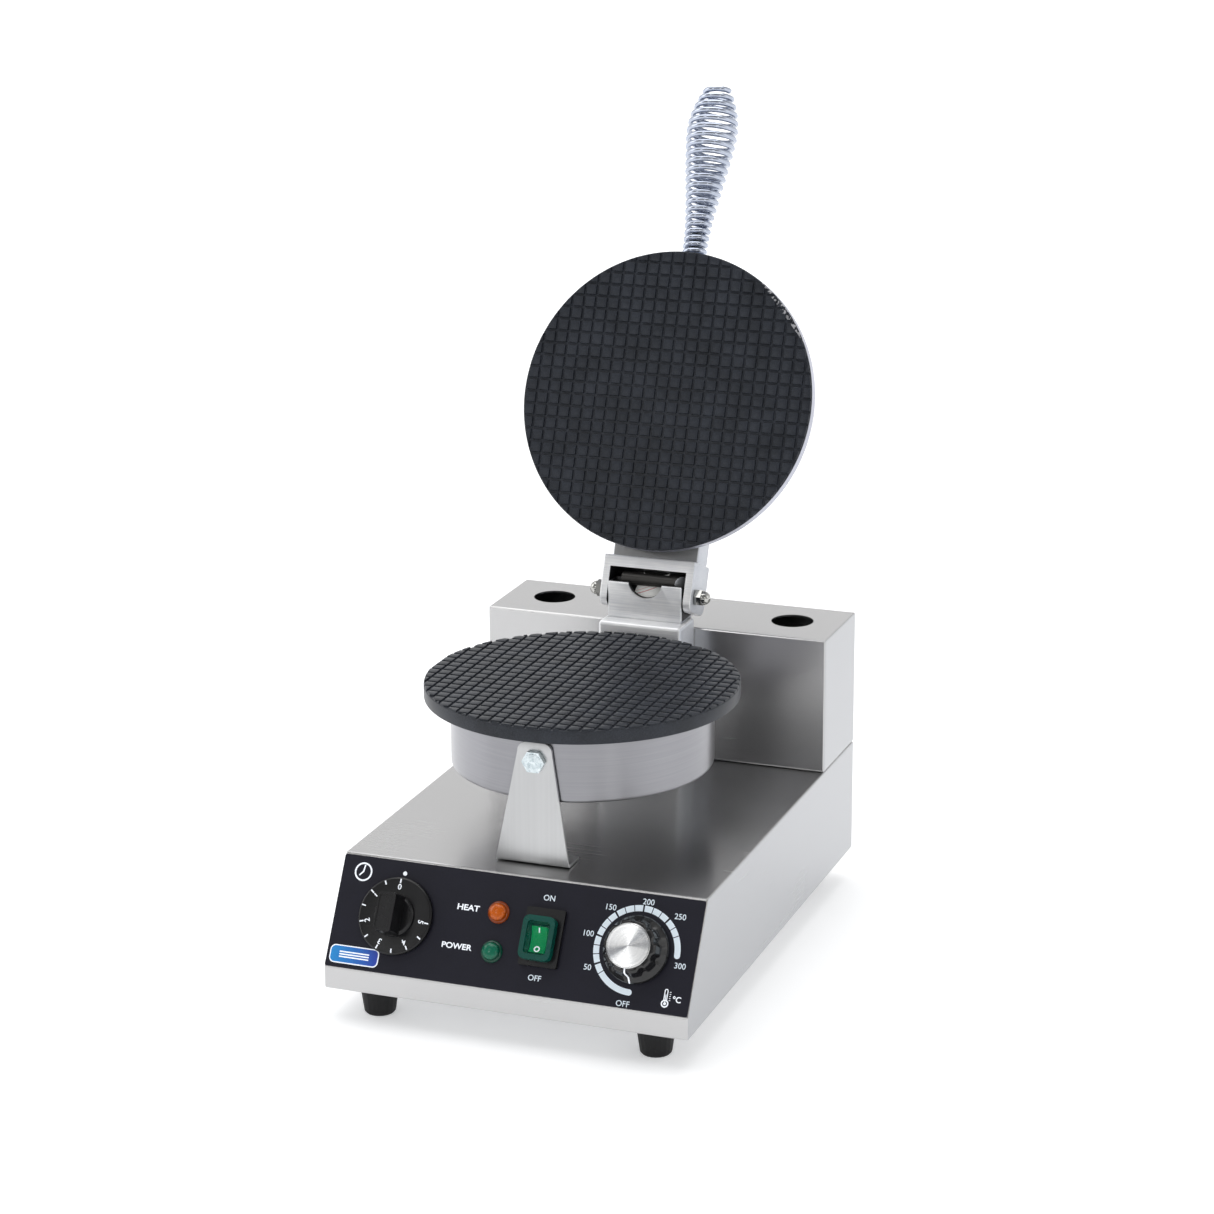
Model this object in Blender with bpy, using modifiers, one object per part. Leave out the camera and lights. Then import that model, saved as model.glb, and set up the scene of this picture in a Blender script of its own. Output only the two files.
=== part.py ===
"""Waffle cone maker: a single-plate electric baker with a hinged upper plate.

Sizes are in millimetres and are turned into metres as each shape is made.
The machine stands on z = 0 with its front towards -Y. Heights and depths are
counted from the floor and from the front lip; the empty "machine" then moves
the whole object so that the frame origin is the bottom centre of its box.
"""
import math

import bmesh
import bpy
from mathutils import Matrix, Vector

MM = 0.001
GAP = 0.3            # clearance between pieces that touch
WIDTH = 240.0        # housing width
DEPTH = 344.2        # housing depth
CENTRE_Y = 204.0     # middle of the object's box, counted from the front lip
FOOT = 20.0          # housing's bottom edge above the floor
LIP = 34.8           # top of the vertical front lip
DECK = 97.5          # top of the base housing
PANEL_BACK = 36.8    # depth at which the sloping panel meets the deck
SHEET = 1.2          # stainless sheet thickness
BOX_FRONT = 274.9    # front face of the rear box
BOX_TOP = 189.8
PLATE_Y = 140.2      # centre of the lower plate
PLATE_TOP = 192.9
PLATE_R = 100.6
PLATE_T = 9.9
DRUM_R = 84.0
DRUM_H = 43.7
AXIS_Y = 267.3       # hinge axis
AXIS_Z = 213.4
LEAN = 22.4          # the open lid leans back this far
REACH = 127.1        # hinge axis to plate centre
FACE = 19.7          # hinge axis to the upper plate's baking face
HOLE_X = 85.7        # holes for the cone rolling tools
HOLE_Y = 311.1
HOLE_R = 14.2
LAMP_X = -11.2
TIMER_X = -77.5
THERMO_X = 80.9
SWITCH_X = 20.2
FEET = [(-92.0, 21.0), (92.0, 21.0), (-92.0, 312.0), (92.0, 312.0)]

for old in list(bpy.data.objects):
    bpy.data.objects.remove(old, do_unlink=True)

PARTS = bpy.data.collections.new("waffle_cone_maker")
CUTTERS = bpy.data.collections.new("cutters")
bpy.context.scene.collection.children.link(PARTS)
bpy.context.scene.collection.children.link(CUTTERS)


# ---------------------------------------------------------------- materials
def material(name, colour, roughness, metallic=0.0):
    mat = bpy.data.materials.new(name)
    mat.use_nodes = True
    bsdf = mat.node_tree.nodes["Principled BSDF"]
    bsdf.inputs["Base Color"].default_value = (*colour, 1.0)
    bsdf.inputs["Roughness"].default_value = roughness
    bsdf.inputs["Metallic"].default_value = metallic
    mat.diffuse_color = (*colour, 1.0)
    return mat


STAINLESS = ((0.62, 0.62, 0.63), 0.32, 1.0)
BRACKET = ((0.60, 0.59, 0.56), 0.35, 1.0)
CASTING = ((0.58, 0.60, 0.63), 0.42, 1.0)
STEEL = ((0.55, 0.55, 0.55), 0.30, 1.0)
CHROME = ((0.75, 0.77, 0.80), 0.10, 1.0)
COATING = ((0.030, 0.032, 0.038), 0.38)
BLACK = ((0.015, 0.015, 0.017), 0.35)
LABEL = ((0.022, 0.022, 0.036), 0.45)
RUBBER = ((0.018, 0.018, 0.018), 0.75)
SLEEVE = ((0.78, 0.78, 0.76), 0.85)
AMBER = ((0.70, 0.22, 0.02), 0.15)
GREEN = ((0.0, 0.28, 0.12), 0.15)
BOOT = ((0.01, 0.12, 0.08), 0.25)
ELEMENT = ((0.12, 0.13, 0.12), 0.6, 1.0)
CERAMIC = ((0.75, 0.74, 0.70), 0.5)


# ------------------------------------------------------------------ empties
def empty(name, parent, location, tilt=0.0):
    obj = bpy.data.objects.new(name, None)
    PARTS.objects.link(obj)
    obj.empty_display_size = 0.02
    obj.parent = parent
    obj.location = Vector(location) * MM
    obj.rotation_euler = (math.radians(tilt), 0.0, 0.0)
    return obj


PANEL_TILT = math.degrees(math.atan2(DECK - LIP, PANEL_BACK))
machine = empty("machine", None, (0, -CENTRE_Y, 0))
panel = empty("panel", machine, (0, PANEL_BACK / 2, (LIP + DECK) / 2), PANEL_TILT)
lid_axis = empty("lid_axis", machine, (0, AXIS_Y, AXIS_Z), -LEAN)


# ------------------------------------------------------------------ helpers
def place(mesh, name, look, parent, at=(0, 0, 0), turn=(0, 0, 0)):
    obj = bpy.data.objects.new(name, mesh)
    obj.parent = parent
    obj.location = Vector(at) * MM
    obj.rotation_euler = [math.radians(a) for a in turn]
    if look is None:
        CUTTERS.objects.link(obj)
        obj.display_type = 'WIRE'
        obj.hide_render = True
    else:
        PARTS.objects.link(obj)
        obj.data.materials.append(material(name, *look))
    return obj


def finish_mesh(bm, name):
    bmesh.ops.recalc_face_normals(bm, faces=bm.faces)
    mesh = bpy.data.meshes.new(name)
    bm.to_mesh(mesh)
    bm.free()
    return mesh


def block(name, look, parent, low, high, at=(0, 0, 0), turn=(0, 0, 0)):
    bm = bmesh.new()
    bmesh.ops.create_cube(bm, size=1.0)
    size = [(b - a) * MM for a, b in zip(low, high)]
    middle = [(a + b) / 2 * MM for a, b in zip(low, high)]
    bmesh.ops.scale(bm, vec=size, verts=bm.verts)
    bmesh.ops.translate(bm, vec=middle, verts=bm.verts)
    return place(finish_mesh(bm, name), name, look, parent, at, turn)


def rod(name, look, parent, radius, z0, z1, at=(0, 0, 0), turn=(0, 0, 0), sides=32,
        top_radius=None, stretch=1.0):
    bm = bmesh.new()
    bmesh.ops.create_cone(bm, cap_ends=True, segments=sides, radius1=radius * MM,
                          radius2=(top_radius or radius) * MM, depth=(z1 - z0) * MM)
    bmesh.ops.translate(bm, vec=(0, 0, (z0 + z1) / 2 * MM), verts=bm.verts)
    bmesh.ops.scale(bm, vec=(stretch, 1, 1), verts=bm.verts)
    return place(finish_mesh(bm, name), name, look, parent, at, turn)


def prism(name, look, parent, outline, x0, x1, at=(0, 0, 0), turn=(0, 0, 0)):
    """A (y, z) outline swept along X from x0 to x1."""
    bm = bmesh.new()
    ring = [bm.verts.new((x0 * MM, y * MM, z * MM)) for y, z in outline]
    face = bm.faces.new(ring)
    swept = bmesh.ops.extrude_face_region(bm, geom=[face])
    moved = [v for v in swept["geom"] if isinstance(v, bmesh.types.BMVert)]
    bmesh.ops.translate(bm, vec=((x1 - x0) * MM, 0, 0), verts=moved)
    return place(finish_mesh(bm, name), name, look, parent, at, turn)


def turned(name, look, parent, profile, sides=48, at=(0, 0, 0), turn=(0, 0, 0)):
    """A profile of (radius, height) points, turned about local Z."""
    mesh = bpy.data.meshes.new(name)
    points = [(r * MM, 0.0, z * MM) for r, z in profile]
    edges = [(i, i + 1) for i in range(len(points) - 1)]
    if profile[0] == profile[-1]:
        points.pop()
        edges[-1] = (len(points) - 1, 0)
    mesh.from_pydata(points, edges, [])
    obj = place(mesh, name, look, parent, at, turn)
    screw = obj.modifiers.new("turned", 'SCREW')
    screw.steps = sides
    screw.render_steps = sides
    screw.use_merge_vertices = True
    screw.merge_threshold = 0.00001
    screw.use_smooth_shade = False
    return obj


def wire(name, look, parent, points, radius, at=(0, 0, 0), turn=(0, 0, 0), kind='POLY', detail=2,
         smooth=8, stretch=1.0):
    """A round tube along a path, turned into a closed mesh."""
    curve = bpy.data.curves.new(name, 'CURVE')
    curve.dimensions = '3D'
    curve.bevel_depth = radius * MM
    curve.bevel_resolution = detail
    curve.use_fill_caps = True
    curve.resolution_u = smooth
    spline = curve.splines.new(kind)
    if kind == 'BEZIER':
        spline.bezier_points.add(len(points) - 1)
        for knot, p in zip(spline.bezier_points, points):
            knot.co = Vector(p) * MM
            knot.handle_left_type = 'AUTO'
            knot.handle_right_type = 'AUTO'
    else:
        spline.points.add(len(points) - 1)
        for knot, p in zip(spline.points, points):
            knot.co = (*(Vector(p) * MM), 1.0)
    guide = bpy.data.objects.new(name + "_path", curve)
    CUTTERS.objects.link(guide)
    guide.display_type = 'WIRE'
    guide.hide_render = True
    guide.parent = parent
    guide.location = Vector(at) * MM
    guide.rotation_euler = [math.radians(a) for a in turn]
    graph = bpy.context.evaluated_depsgraph_get()
    mesh = bpy.data.meshes.new_from_object(guide.evaluated_get(graph), depsgraph=graph)
    bm = bmesh.new()
    bm.from_mesh(mesh)
    bmesh.ops.remove_doubles(bm, verts=bm.verts, dist=0.000001)
    bmesh.ops.scale(bm, vec=(stretch, 1, 1), verts=bm.verts)
    bpy.data.meshes.remove(mesh)
    return place(finish_mesh(bm, name), name, look, parent, at, turn)


def cut(obj, *cutters, add=False):
    for cutter in cutters:
        mod = obj.modifiers.new(cutter.name, 'BOOLEAN')
        mod.operation = 'UNION' if add else 'DIFFERENCE'
        mod.solver = 'EXACT'
        mod.object = cutter
    return obj


def ease(obj, width, segments=2, angle=30):
    mod = obj.modifiers.new("edges", 'BEVEL')
    mod.width = width * MM
    mod.segments = segments
    mod.limit_method = 'ANGLE'
    mod.angle_limit = math.radians(angle)
    mod.use_clamp_overlap = True
    return obj


def inset(outline, by):
    """A convex outline moved inwards by the same distance on every side."""
    lines = []
    count = len(outline)
    middle = Vector((sum(p[0] for p in outline) / count, sum(p[1] for p in outline) / count))
    for i in range(count):
        a = Vector(outline[i])
        b = Vector(outline[(i + 1) % count])
        along = (b - a).normalized()
        inward = Vector((-along.y, along.x))
        if inward.dot(middle - a) < 0:
            inward = -inward
        lines.append((a + inward * by, along))
    result = []
    for i in range(count):
        p, d = lines[i - 1]
        q, e = lines[i]
        s = ((q - p).x * e.y - (q - p).y * e.x) / (d.x * e.y - d.y * e.x)
        result.append(tuple(p + d * s))
    return result


# ------------------------------------------------------------- base housing
SIDE = [(0, FOOT), (DEPTH, FOOT), (DEPTH, DECK), (PANEL_BACK, DECK), (0, LIP)]
HALF = WIDTH / 2
PANEL_HOLES = [("timer", TIMER_X, 0, 4.6), ("thermostat", THERMO_X, 0, 4.6),
               ("heat", LAMP_X, 11.2, 5.6), ("power", LAMP_X, -13.2, 5.6)]
CHANNEL_Y = 266.8    # lid lead's channel through the hinge pedestal
RISER_Y = 252.0      # lower lead's channel
BOLT_X = 21.0        # pedestal bolts
BOLT_Y = 253.0
VENTS = [-60, -36, -12, 12, 36, 60]

base_housing = ease(prism("base_housing", STAINLESS, machine, SIDE, -HALF, HALF), 1.0)
inside = [(y, z if z > FOOT + 5 else FOOT - 4) for y, z in inset(SIDE, SHEET)]
cut(base_housing, prism("housing_hollow", None, machine, inside, -HALF + SHEET, HALF - SHEET))
for tag, x, v, r in PANEL_HOLES:
    cut(base_housing, rod(tag + "_hole", None, panel, r, -4, 4, at=(x, v, 0)))
cut(base_housing, block("switch_hole", None, panel, (SWITCH_X - 10.6, -13.6, -4), (SWITCH_X + 10.6, 12.4, 4)))
cut(base_housing, rod("lid_lead_hole", None, machine, 6.4, DECK - 5, DECK + 5, at=(0, CHANNEL_Y, 0),
                      stretch=1.6))
cut(base_housing, rod("riser_hole", None, machine, 4.4, DECK - 5, DECK + 5, at=(0, RISER_Y, 0), sides=20))
for side in (-1, 1):
    cut(base_housing, rod(f"deck_bolt_hole_{side}", None, machine, 3.3, DECK - 5, DECK + 5, sides=16,
                          at=(side * BOLT_X, BOLT_Y, 0)))
cut(base_housing, rod("gland_hole", None, machine, 8.3, -5, 5, at=(78, DEPTH, 48), turn=(90, 0, 0), sides=24))

# bottom tray: a shallow pan inside the housing, with vent slots
tray_gap = SHEET + 0.4
bottom_tray = block("bottom_tray", STAINLESS, machine, (-HALF + tray_gap, tray_gap, FOOT + 0.6),
                    (HALF - tray_gap, DEPTH - tray_gap, FOOT + 9.6))
cut(bottom_tray, block("tray_hollow", None, machine,
                       (-HALF + tray_gap + SHEET, tray_gap + SHEET, FOOT + 0.6 + SHEET),
                       (HALF - tray_gap - SHEET, DEPTH - tray_gap - SHEET, FOOT + 20)))
for i, x in enumerate(VENTS):
    cut(bottom_tray, block(f"vent_{i}", None, machine, (x - 2.5, 130, FOOT - 4), (x + 2.5, 200, FOOT + 6)))
for i, (x, y) in enumerate(FEET):
    cut(bottom_tray, rod(f"foot_screw_hole_{i}", None, machine, 3.0, FOOT - 4, FOOT + 6, sides=16,
                         at=(x, y, 0)))

# feet: tapered rubber bumpers, each held by a screw from below
CORNERS = ["front_left", "front_right", "rear_left", "rear_right"]
for name, (x, y) in zip(CORNERS, FEET):
    turned("foot_" + name, RUBBER, machine,
           [(3.0, FOOT + 0.3), (12.2, FOOT + 0.3), (12.2, FOOT - 3), (10.0, 1.2), (9.0, 0), (5.8, 0),
            (5.8, 7), (3.0, 7), (3.0, FOOT + 0.3)], sides=20, at=(x, y, 0))
    turned("foot_screw_" + name, STEEL, machine,
           [(0, FOOT + 9), (2.6, FOOT + 9), (2.6, 6.7), (5.2, 6.7), (4.6, 4.2), (0, 4.2)], sides=16,
           at=(x, y, 0))

# ----------------------------------------------------------------- rear box
seam = 0.5
rear_box = ease(block("rear_box", STAINLESS, machine, (-HALF, BOX_FRONT, DECK + seam),
                      (HALF, DEPTH, BOX_TOP)), 1.0)
cut(rear_box, block("box_hollow", None, machine, (-HALF + SHEET, BOX_FRONT + SHEET, DECK - 4),
                    (HALF - SHEET, DEPTH - SHEET, BOX_TOP - SHEET)))
for side in (-1, 1):
    cut(rear_box, rod(f"tool_hole_{side}", None, machine, HOLE_R, BOX_TOP - 6, BOX_TOP + 6, sides=48,
                      at=(side * HOLE_X, HOLE_Y, 0)))

# ------------------------------------------------------------ hinge pedestal
hinge_pedestal = ease(block("hinge_pedestal", CASTING, machine, (-29, 245, DECK + GAP),
                            (29, BOX_FRONT - 0.4, 197.5)), 1.5)
bearing = ease(block("bearing_block", None, machine, (-26.2, 256.8, 192), (26.2, 278, 222)), 0.8)
arm = ease(block("drum_arm", None, machine, (-22, 214, 148), (22, 250, 176)), 1.5)
cut(hinge_pedestal, bearing, arm, add=True)
cut(hinge_pedestal, block("box_corner_relief", None, machine, (-40, BOX_FRONT - 0.4, 150),
                          (40, 290, BOX_TOP + 0.6)))
cut(hinge_pedestal, rod("drum_seat", None, machine, DRUM_R + 0.4, 130, 191, at=(0, PLATE_Y, 0), sides=72))
cut(hinge_pedestal, block("bearing_pocket", None, machine, (-17, 260.6, 196), (17, 275, 230)))
cut(hinge_pedestal, rod("lid_lead_channel", None, machine, 5.9, DECK - 6, 200, at=(0, CHANNEL_Y, 0),
                        stretch=1.65))
cut(hinge_pedestal, rod("front_notch", None, machine, 12, -8, 8, at=(0, 258, 224.2), turn=(90, 0, 0)))
cut(hinge_pedestal, block("rear_notch", None, machine, (-12, 272, 209), (12, 284, 230)))
BAR_Y = 264.8
BAR_Z = 222.9
cut(hinge_pedestal, rod("bar_groove", None, machine, 4.6, -24.4, 24.4, at=(0, BAR_Y, BAR_Z),
                        turn=(0, 90, 0), sides=24))
cut(hinge_pedestal, rod("pin_bore", None, machine, 3.3, -35, 35, at=(0, AXIS_Y, AXIS_Z),
                        turn=(0, 90, 0), sides=24))
cut(hinge_pedestal, rod("riser_bore", None, machine, 4.2, DECK - 6, 167, at=(0, RISER_Y, 0), sides=20))
cut(hinge_pedestal, rod("arm_bore", None, machine, 4.2, -RISER_Y - 5, -205, at=(0, 0, 162),
                        turn=(90, 0, 0), sides=20))
for side in (-1, 1):
    cut(hinge_pedestal, rod(f"pedestal_bolt_hole_{side}", None, machine, 3.3, DECK - 5, DECK + 16,
                            at=(side * BOLT_X, BOLT_Y, 0), sides=16))

rod("lead_guard_bar", ELEMENT, machine, 4.2, -24, 24, at=(0, BAR_Y, BAR_Z), turn=(0, 90, 0), sides=24)
for name, side in (("left", -1), ("right", 1)):
    rod("pedestal_bolt_" + name, STEEL, machine, 5.4, DECK - SHEET - 4.5, DECK - SHEET - GAP,
        at=(side * BOLT_X, BOLT_Y, 0), sides=6)
    shank = rod(f"pedestal_shank_{name}", None, machine, 3.0, DECK - SHEET - 2, DECK + 14,
                at=(side * BOLT_X, BOLT_Y, 0), sides=16)
    cut(bpy.data.objects["pedestal_bolt_" + name], shank, add=True)
    rod("hinge_pin_" + name, STEEL, machine, 3.0, 17.4, 37.4, at=(0, AXIS_Y, AXIS_Z),
        turn=(0, side * 90, 0), sides=24)
    nut = turned("acorn_nut_" + name, CHROME, machine,
                 [(0, 42.4), (2.6, 41.6), (4.3, 39.6), (4.9, 37.4), (4.9, 36), (5.0, 36), (5.0, 32.6),
                  (3.3, 32.6), (3.3, 37.8), (0, 37.8)], sides=24, at=(0, AXIS_Y, AXIS_Z),
                 turn=(0, side * 90, 0))
    hexagon = rod(f"acorn_hexagon_{name}", None, machine, 5.77, 32.6, 36.6, sides=6,
                  at=(0, AXIS_Y, AXIS_Z), turn=(0, side * 90, 0))
    cut(hexagon, rod(f"acorn_bore_{name}", None, machine, 4.2, 30, 40, at=(0, AXIS_Y, AXIS_Z),
                     turn=(0, side * 90, 0), sides=16))
    cut(nut, hexagon, add=True)

# ---------------------------------------------------- lower plate and drum
plate_low = PLATE_TOP - PLATE_T
turned("lower_plate", COATING, machine,
       [(0, PLATE_TOP), (PLATE_R - 0.8, PLATE_TOP), (PLATE_R, PLATE_TOP - 0.8),
        (PLATE_R, plate_low + 0.8), (PLATE_R - 0.8, plate_low), (0, plate_low)], sides=72,
       at=(0, PLATE_Y, 0))
drum_top = plate_low - GAP
drum_low = drum_top - DRUM_H
lower_drum = turned("lower_drum", STAINLESS, machine,
                    [(0, drum_low + SHEET), (DRUM_R - SHEET, drum_low + SHEET),
                     (DRUM_R - SHEET, drum_top), (DRUM_R, drum_top), (DRUM_R, drum_low + 1.4),
                     (DRUM_R - 1.4, drum_low), (0, drum_low)], sides=72, at=(0, PLATE_Y, 0))
cut(lower_drum, rod("drum_bolt_hole", None, machine, 4.3, -PLATE_Y + 70, -PLATE_Y + 90,
                    at=(0, 0, 164.3), turn=(90, 0, 0), sides=20))
cut(lower_drum, rod("drum_lead_hole", None, machine, 4.2, -PLATE_Y - 90, -PLATE_Y - 70,
                    at=(0, 0, 162), turn=(90, 0, 0), sides=20))


def element_path(radius, z, centre, opening=24, count=40):
    path = []
    for i in range(count + 1):
        a = math.radians(90 + opening / 2 + i * (360 - opening) / count)
        path.append((centre[0] + radius * math.cos(a), centre[1] + radius * math.sin(a), z))
    return path


wire("lower_heating_element", ELEMENT, machine, element_path(58, plate_low - 4.4, (0, PLATE_Y)), 3.6,
     detail=1)
wire("lower_heater_lead", SLEEVE, machine,
     [(0, 196, 168), (0, 201, 162), (0, 214, 162), (0, RISER_Y - 1.5, 162), (0, RISER_Y, 160.5),
      (0, RISER_Y, 120), (0, RISER_Y, 60)], 3.4, detail=1)

# ------------------------------------------------------------ front bracket
BR_Y = 53.7
BR_T = 2.0
bracket = bpy.data.curves.new("front_bracket", 'CURVE')
bracket.dimensions = '2D'
bracket.fill_mode = 'BOTH'
bracket.extrude = BR_T / 2 * MM
outline = [(-24.4, DECK + 0.4), (24.4, DECK + 0.4), (11.4, 170.5)]
for step in range(7):
    angle = math.radians(10 + step * 80 / 6)
    outline.append((5.4 + 6.0 * math.cos(angle), 171 + 6.0 * math.sin(angle)))
for step in range(7):
    angle = math.radians(90 + step * 80 / 6)
    outline.append((-5.4 + 6.0 * math.cos(angle), 171 + 6.0 * math.sin(angle)))
outline.append((-11.4, 170.5))
spline = bracket.splines.new('POLY')
spline.points.add(len(outline) - 1)
for knot, (x, z) in zip(spline.points, outline):
    knot.co = (x * MM, z * MM, 0, 1)
spline.use_cyclic_u = True
sheet_guide = bpy.data.objects.new("front_bracket_outline", bracket)
CUTTERS.objects.link(sheet_guide)
sheet_guide.display_type = 'WIRE'
sheet_guide.hide_render = True
graph = bpy.context.evaluated_depsgraph_get()
flat = bpy.data.meshes.new_from_object(sheet_guide.evaluated_get(graph), depsgraph=graph)
bm = bmesh.new()
bm.from_mesh(flat)
bmesh.ops.remove_doubles(bm, verts=bm.verts, dist=0.000001)
bpy.data.meshes.remove(flat)
front_bracket = place(finish_mesh(bm, "front_bracket"), "front_bracket", BRACKET, machine,
                      at=(0, BR_Y + BR_T / 2, 0), turn=(90, 0, 0))
cut(front_bracket, block("bracket_foot", None, machine, (-24.4, BR_Y, DECK + 0.4),
                         (24.4, BR_Y + 18, DECK + 0.4 + BR_T)), add=True)
cut(front_bracket, rod("bracket_bolt_hole", None, machine, 4.3, -62, -50, at=(0.4, 0, 164.3),
                       turn=(90, 0, 0), sides=20))
bracket_bolt = rod("bracket_bolt", STEEL, machine, 7.5, -BR_Y + GAP, -BR_Y + GAP + 5.3,
                   at=(0.4, 0, 164.3), turn=(90, 0, 0), sides=6)
cut(bracket_bolt, rod("bracket_shank", None, machine, 3.9, -BR_Y - 14, -BR_Y + 2, at=(0.4, 0, 164.3),
                      turn=(90, 0, 0), sides=20), add=True)
for name, side in (("left", -1), ("right", 1)):
    screw = rod("bracket_foot_screw_" + name, STEEL, machine, 3.6, DECK + 2.7, DECK + 5.0,
                at=(side * 15, BR_Y + 11, 0), sides=20, top_radius=2.6)
    cut(screw, rod(f"bracket_screw_shank_{name}", None, machine, 1.9, DECK - 8, DECK + 4,
                   at=(side * 15, BR_Y + 11, 0), sides=16), add=True)
    hole = rod(f"bracket_screw_hole_{name}", None, machine, 2.2, DECK - 12, DECK + 12,
               at=(side * 15, BR_Y + 11, 0), sides=16)
    cut(front_bracket, hole)
    cut(base_housing, hole)

# ------------------------------------------------------------ control panel
LABEL_LOW = GAP
LABEL_T = 0.4
control_label = block("control_label", LABEL, panel, (-119.4, -36.0, LABEL_LOW),
                      (119.4, 36.0, LABEL_LOW + LABEL_T))
for tag, x, v, r in PANEL_HOLES:
    cut(control_label, rod(tag + "_label_hole", None, panel, r, -2, 3, at=(x, v, 0)))
cut(control_label, block("switch_label_hole", None, panel, (SWITCH_X - 10.6, -13.6, -2),
                         (SWITCH_X + 10.6, 12.4, 3)))
FRONT = LABEL_LOW + LABEL_T

# timer: clockwork body behind the panel, shaft, and a dial with a bar grip
timer_body = block("timer_body", BLACK, panel, (TIMER_X - 22, -20, -32), (TIMER_X + 22, 20, -SHEET - GAP))
cut(timer_body, rod("timer_body_bore", None, panel, 3.3, -14, 4, at=(TIMER_X, 0, 0), sides=20))
timer_joint = empty("timer_axis", panel, (TIMER_X, 0, 0))
rod("timer_shaft", STEEL, timer_joint, 3.0, -12, 13, sides=20)
timer_knob = turned("timer_knob", BLACK, timer_joint,
                    [(0, 8.0), (10.5, 8.0), (12.6, 6.4), (13.4, 4.6), (23.4, 4.4), (24.3, 3.6),
                     (24.3, FRONT + 0.8), (0, FRONT + 0.8)], sides=40)
grip = ease(block("timer_grip", None, timer_joint, (-6, -12.7, 2), (6, 12.7, 22)), 2.0)
cut(timer_knob, grip, add=True)
cut(timer_knob, rod("timer_knob_bore", None, timer_joint, 3.3, -2, 13.6, sides=20))

# thermostat: body, shaft, fluted skirt with a metal cap
thermostat_body = turned("thermostat_body", CERAMIC, panel,
                         [(0, -SHEET - GAP), (20, -SHEET - GAP), (20, -24), (0, -24)], sides=32,
                         at=(THERMO_X, 0, 0))
cut(thermostat_body, rod("thermostat_bore", None, panel, 3.3, -14, 4, at=(THERMO_X, 0, 0), sides=20))
thermostat_joint = empty("thermostat_axis", panel, (THERMO_X, 0, 0))
rod("thermostat_shaft", STEEL, thermostat_joint, 3.0, -12, 12, sides=20)
thermostat_knob = turned("thermostat_knob", BLACK, thermostat_joint,
                         [(0, 17.2), (14.0, 17.2), (16.2, 15.6), (18.0, 8.0), (20.6, 4.0),
                          (21.0, FRONT + 0.8), (0, FRONT + 0.8)], sides=40)
for i in range(10):
    turn_by = math.radians(18 + 36 * i)
    cut(thermostat_knob, rod(f"flute_{i}", None, thermostat_joint, 4.0, 6, 24, sides=16,
                             at=(20.6 * math.cos(turn_by), 20.6 * math.sin(turn_by), 0)))
cut(thermostat_knob, rod("thermostat_knob_bore", None, thermostat_joint, 3.3, -2, 12.6, sides=20))
turned("thermostat_cap", CHROME, thermostat_joint,
       [(0, 18.4), (13.2, 18.4), (13.8, 18.0), (13.8, 17.5), (0, 17.5)], sides=48)

# signal lamps
for name, v, look in (("heat_lamp", 11.2, AMBER), ("power_lamp", -13.2, GREEN)):
    turned(name, look, panel,
           [(0, 6.0), (3.2, 5.6), (5.4, 4.2), (6.6, 2.4), (7.0, FRONT + 0.3), (5.2, FRONT + 0.3),
            (5.2, -18), (0, -18)], sides=32, at=(LAMP_X, v, 0))

# rocker switch: bezel body, rocker and sealing boot
SWITCH_V = -0.6
switch_body = ease(block("switch_body", BLACK, panel, (SWITCH_X - 12.5, SWITCH_V - 18, FRONT + GAP),
                         (SWITCH_X + 12.5, SWITCH_V + 18, 3.4)), 0.8)
cut(switch_body, block("switch_case", None, panel, (SWITCH_X - 10.2, SWITCH_V - 12.6, -24),
                       (SWITCH_X + 10.2, SWITCH_V + 12.6, 2.0)), add=True)
cut(switch_body, block("switch_well", None, panel, (SWITCH_X - 8.6, SWITCH_V - 10.8, -15),
                       (SWITCH_X + 8.6, SWITCH_V + 10.8, 6.0)))
ROCKER_TILT = 6.0    # switched off: the lower half is pressed in
rocker_joint = empty("rocker_axis", panel, (SWITCH_X, SWITCH_V, -1.5), 0)
ROCKER = [(-7.6, 6.4), (-4.0, 5.0), (0, 4.5), (4.0, 5.0), (7.6, 6.4), (7.2, 0), (2.5, -6), (-2.5, -6),
          (-7.2, 0)]
prism("rocker", GREEN, rocker_joint, ROCKER, -6.5, 6.5, turn=(ROCKER_TILT, 0, 0))
switch_boot = ease(block("switch_boot", BOOT, panel, (SWITCH_X - 11.5, SWITCH_V - 14, 3.7),
                         (SWITCH_X + 11.5, SWITCH_V + 14, 9.0)), 1.6)
cut(switch_boot, block("boot_hollow", None, panel, (SWITCH_X - 8.4, SWITCH_V - 10.6, 1),
                       (SWITCH_X + 8.4, SWITCH_V + 10.6, 8.0)))

# --------------------------------------------------- wiring inside the base
terminal_block = ease(block("terminal_block", CERAMIC, machine, (-24, 244, FOOT + 2.2),
                            (24, 262, FOOT + 18)), 0.8)
gland = turned("cable_gland", BLACK, machine,
               [(4.0, 16), (7.0, 16), (9.5, 9), (11.0, 8.4), (11.0, GAP), (7.9, GAP), (7.9, -14),
                (4.0, -14), (4.0, 16)], sides=32, at=(78, DEPTH, 48), turn=(-90, 0, 0))

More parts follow.
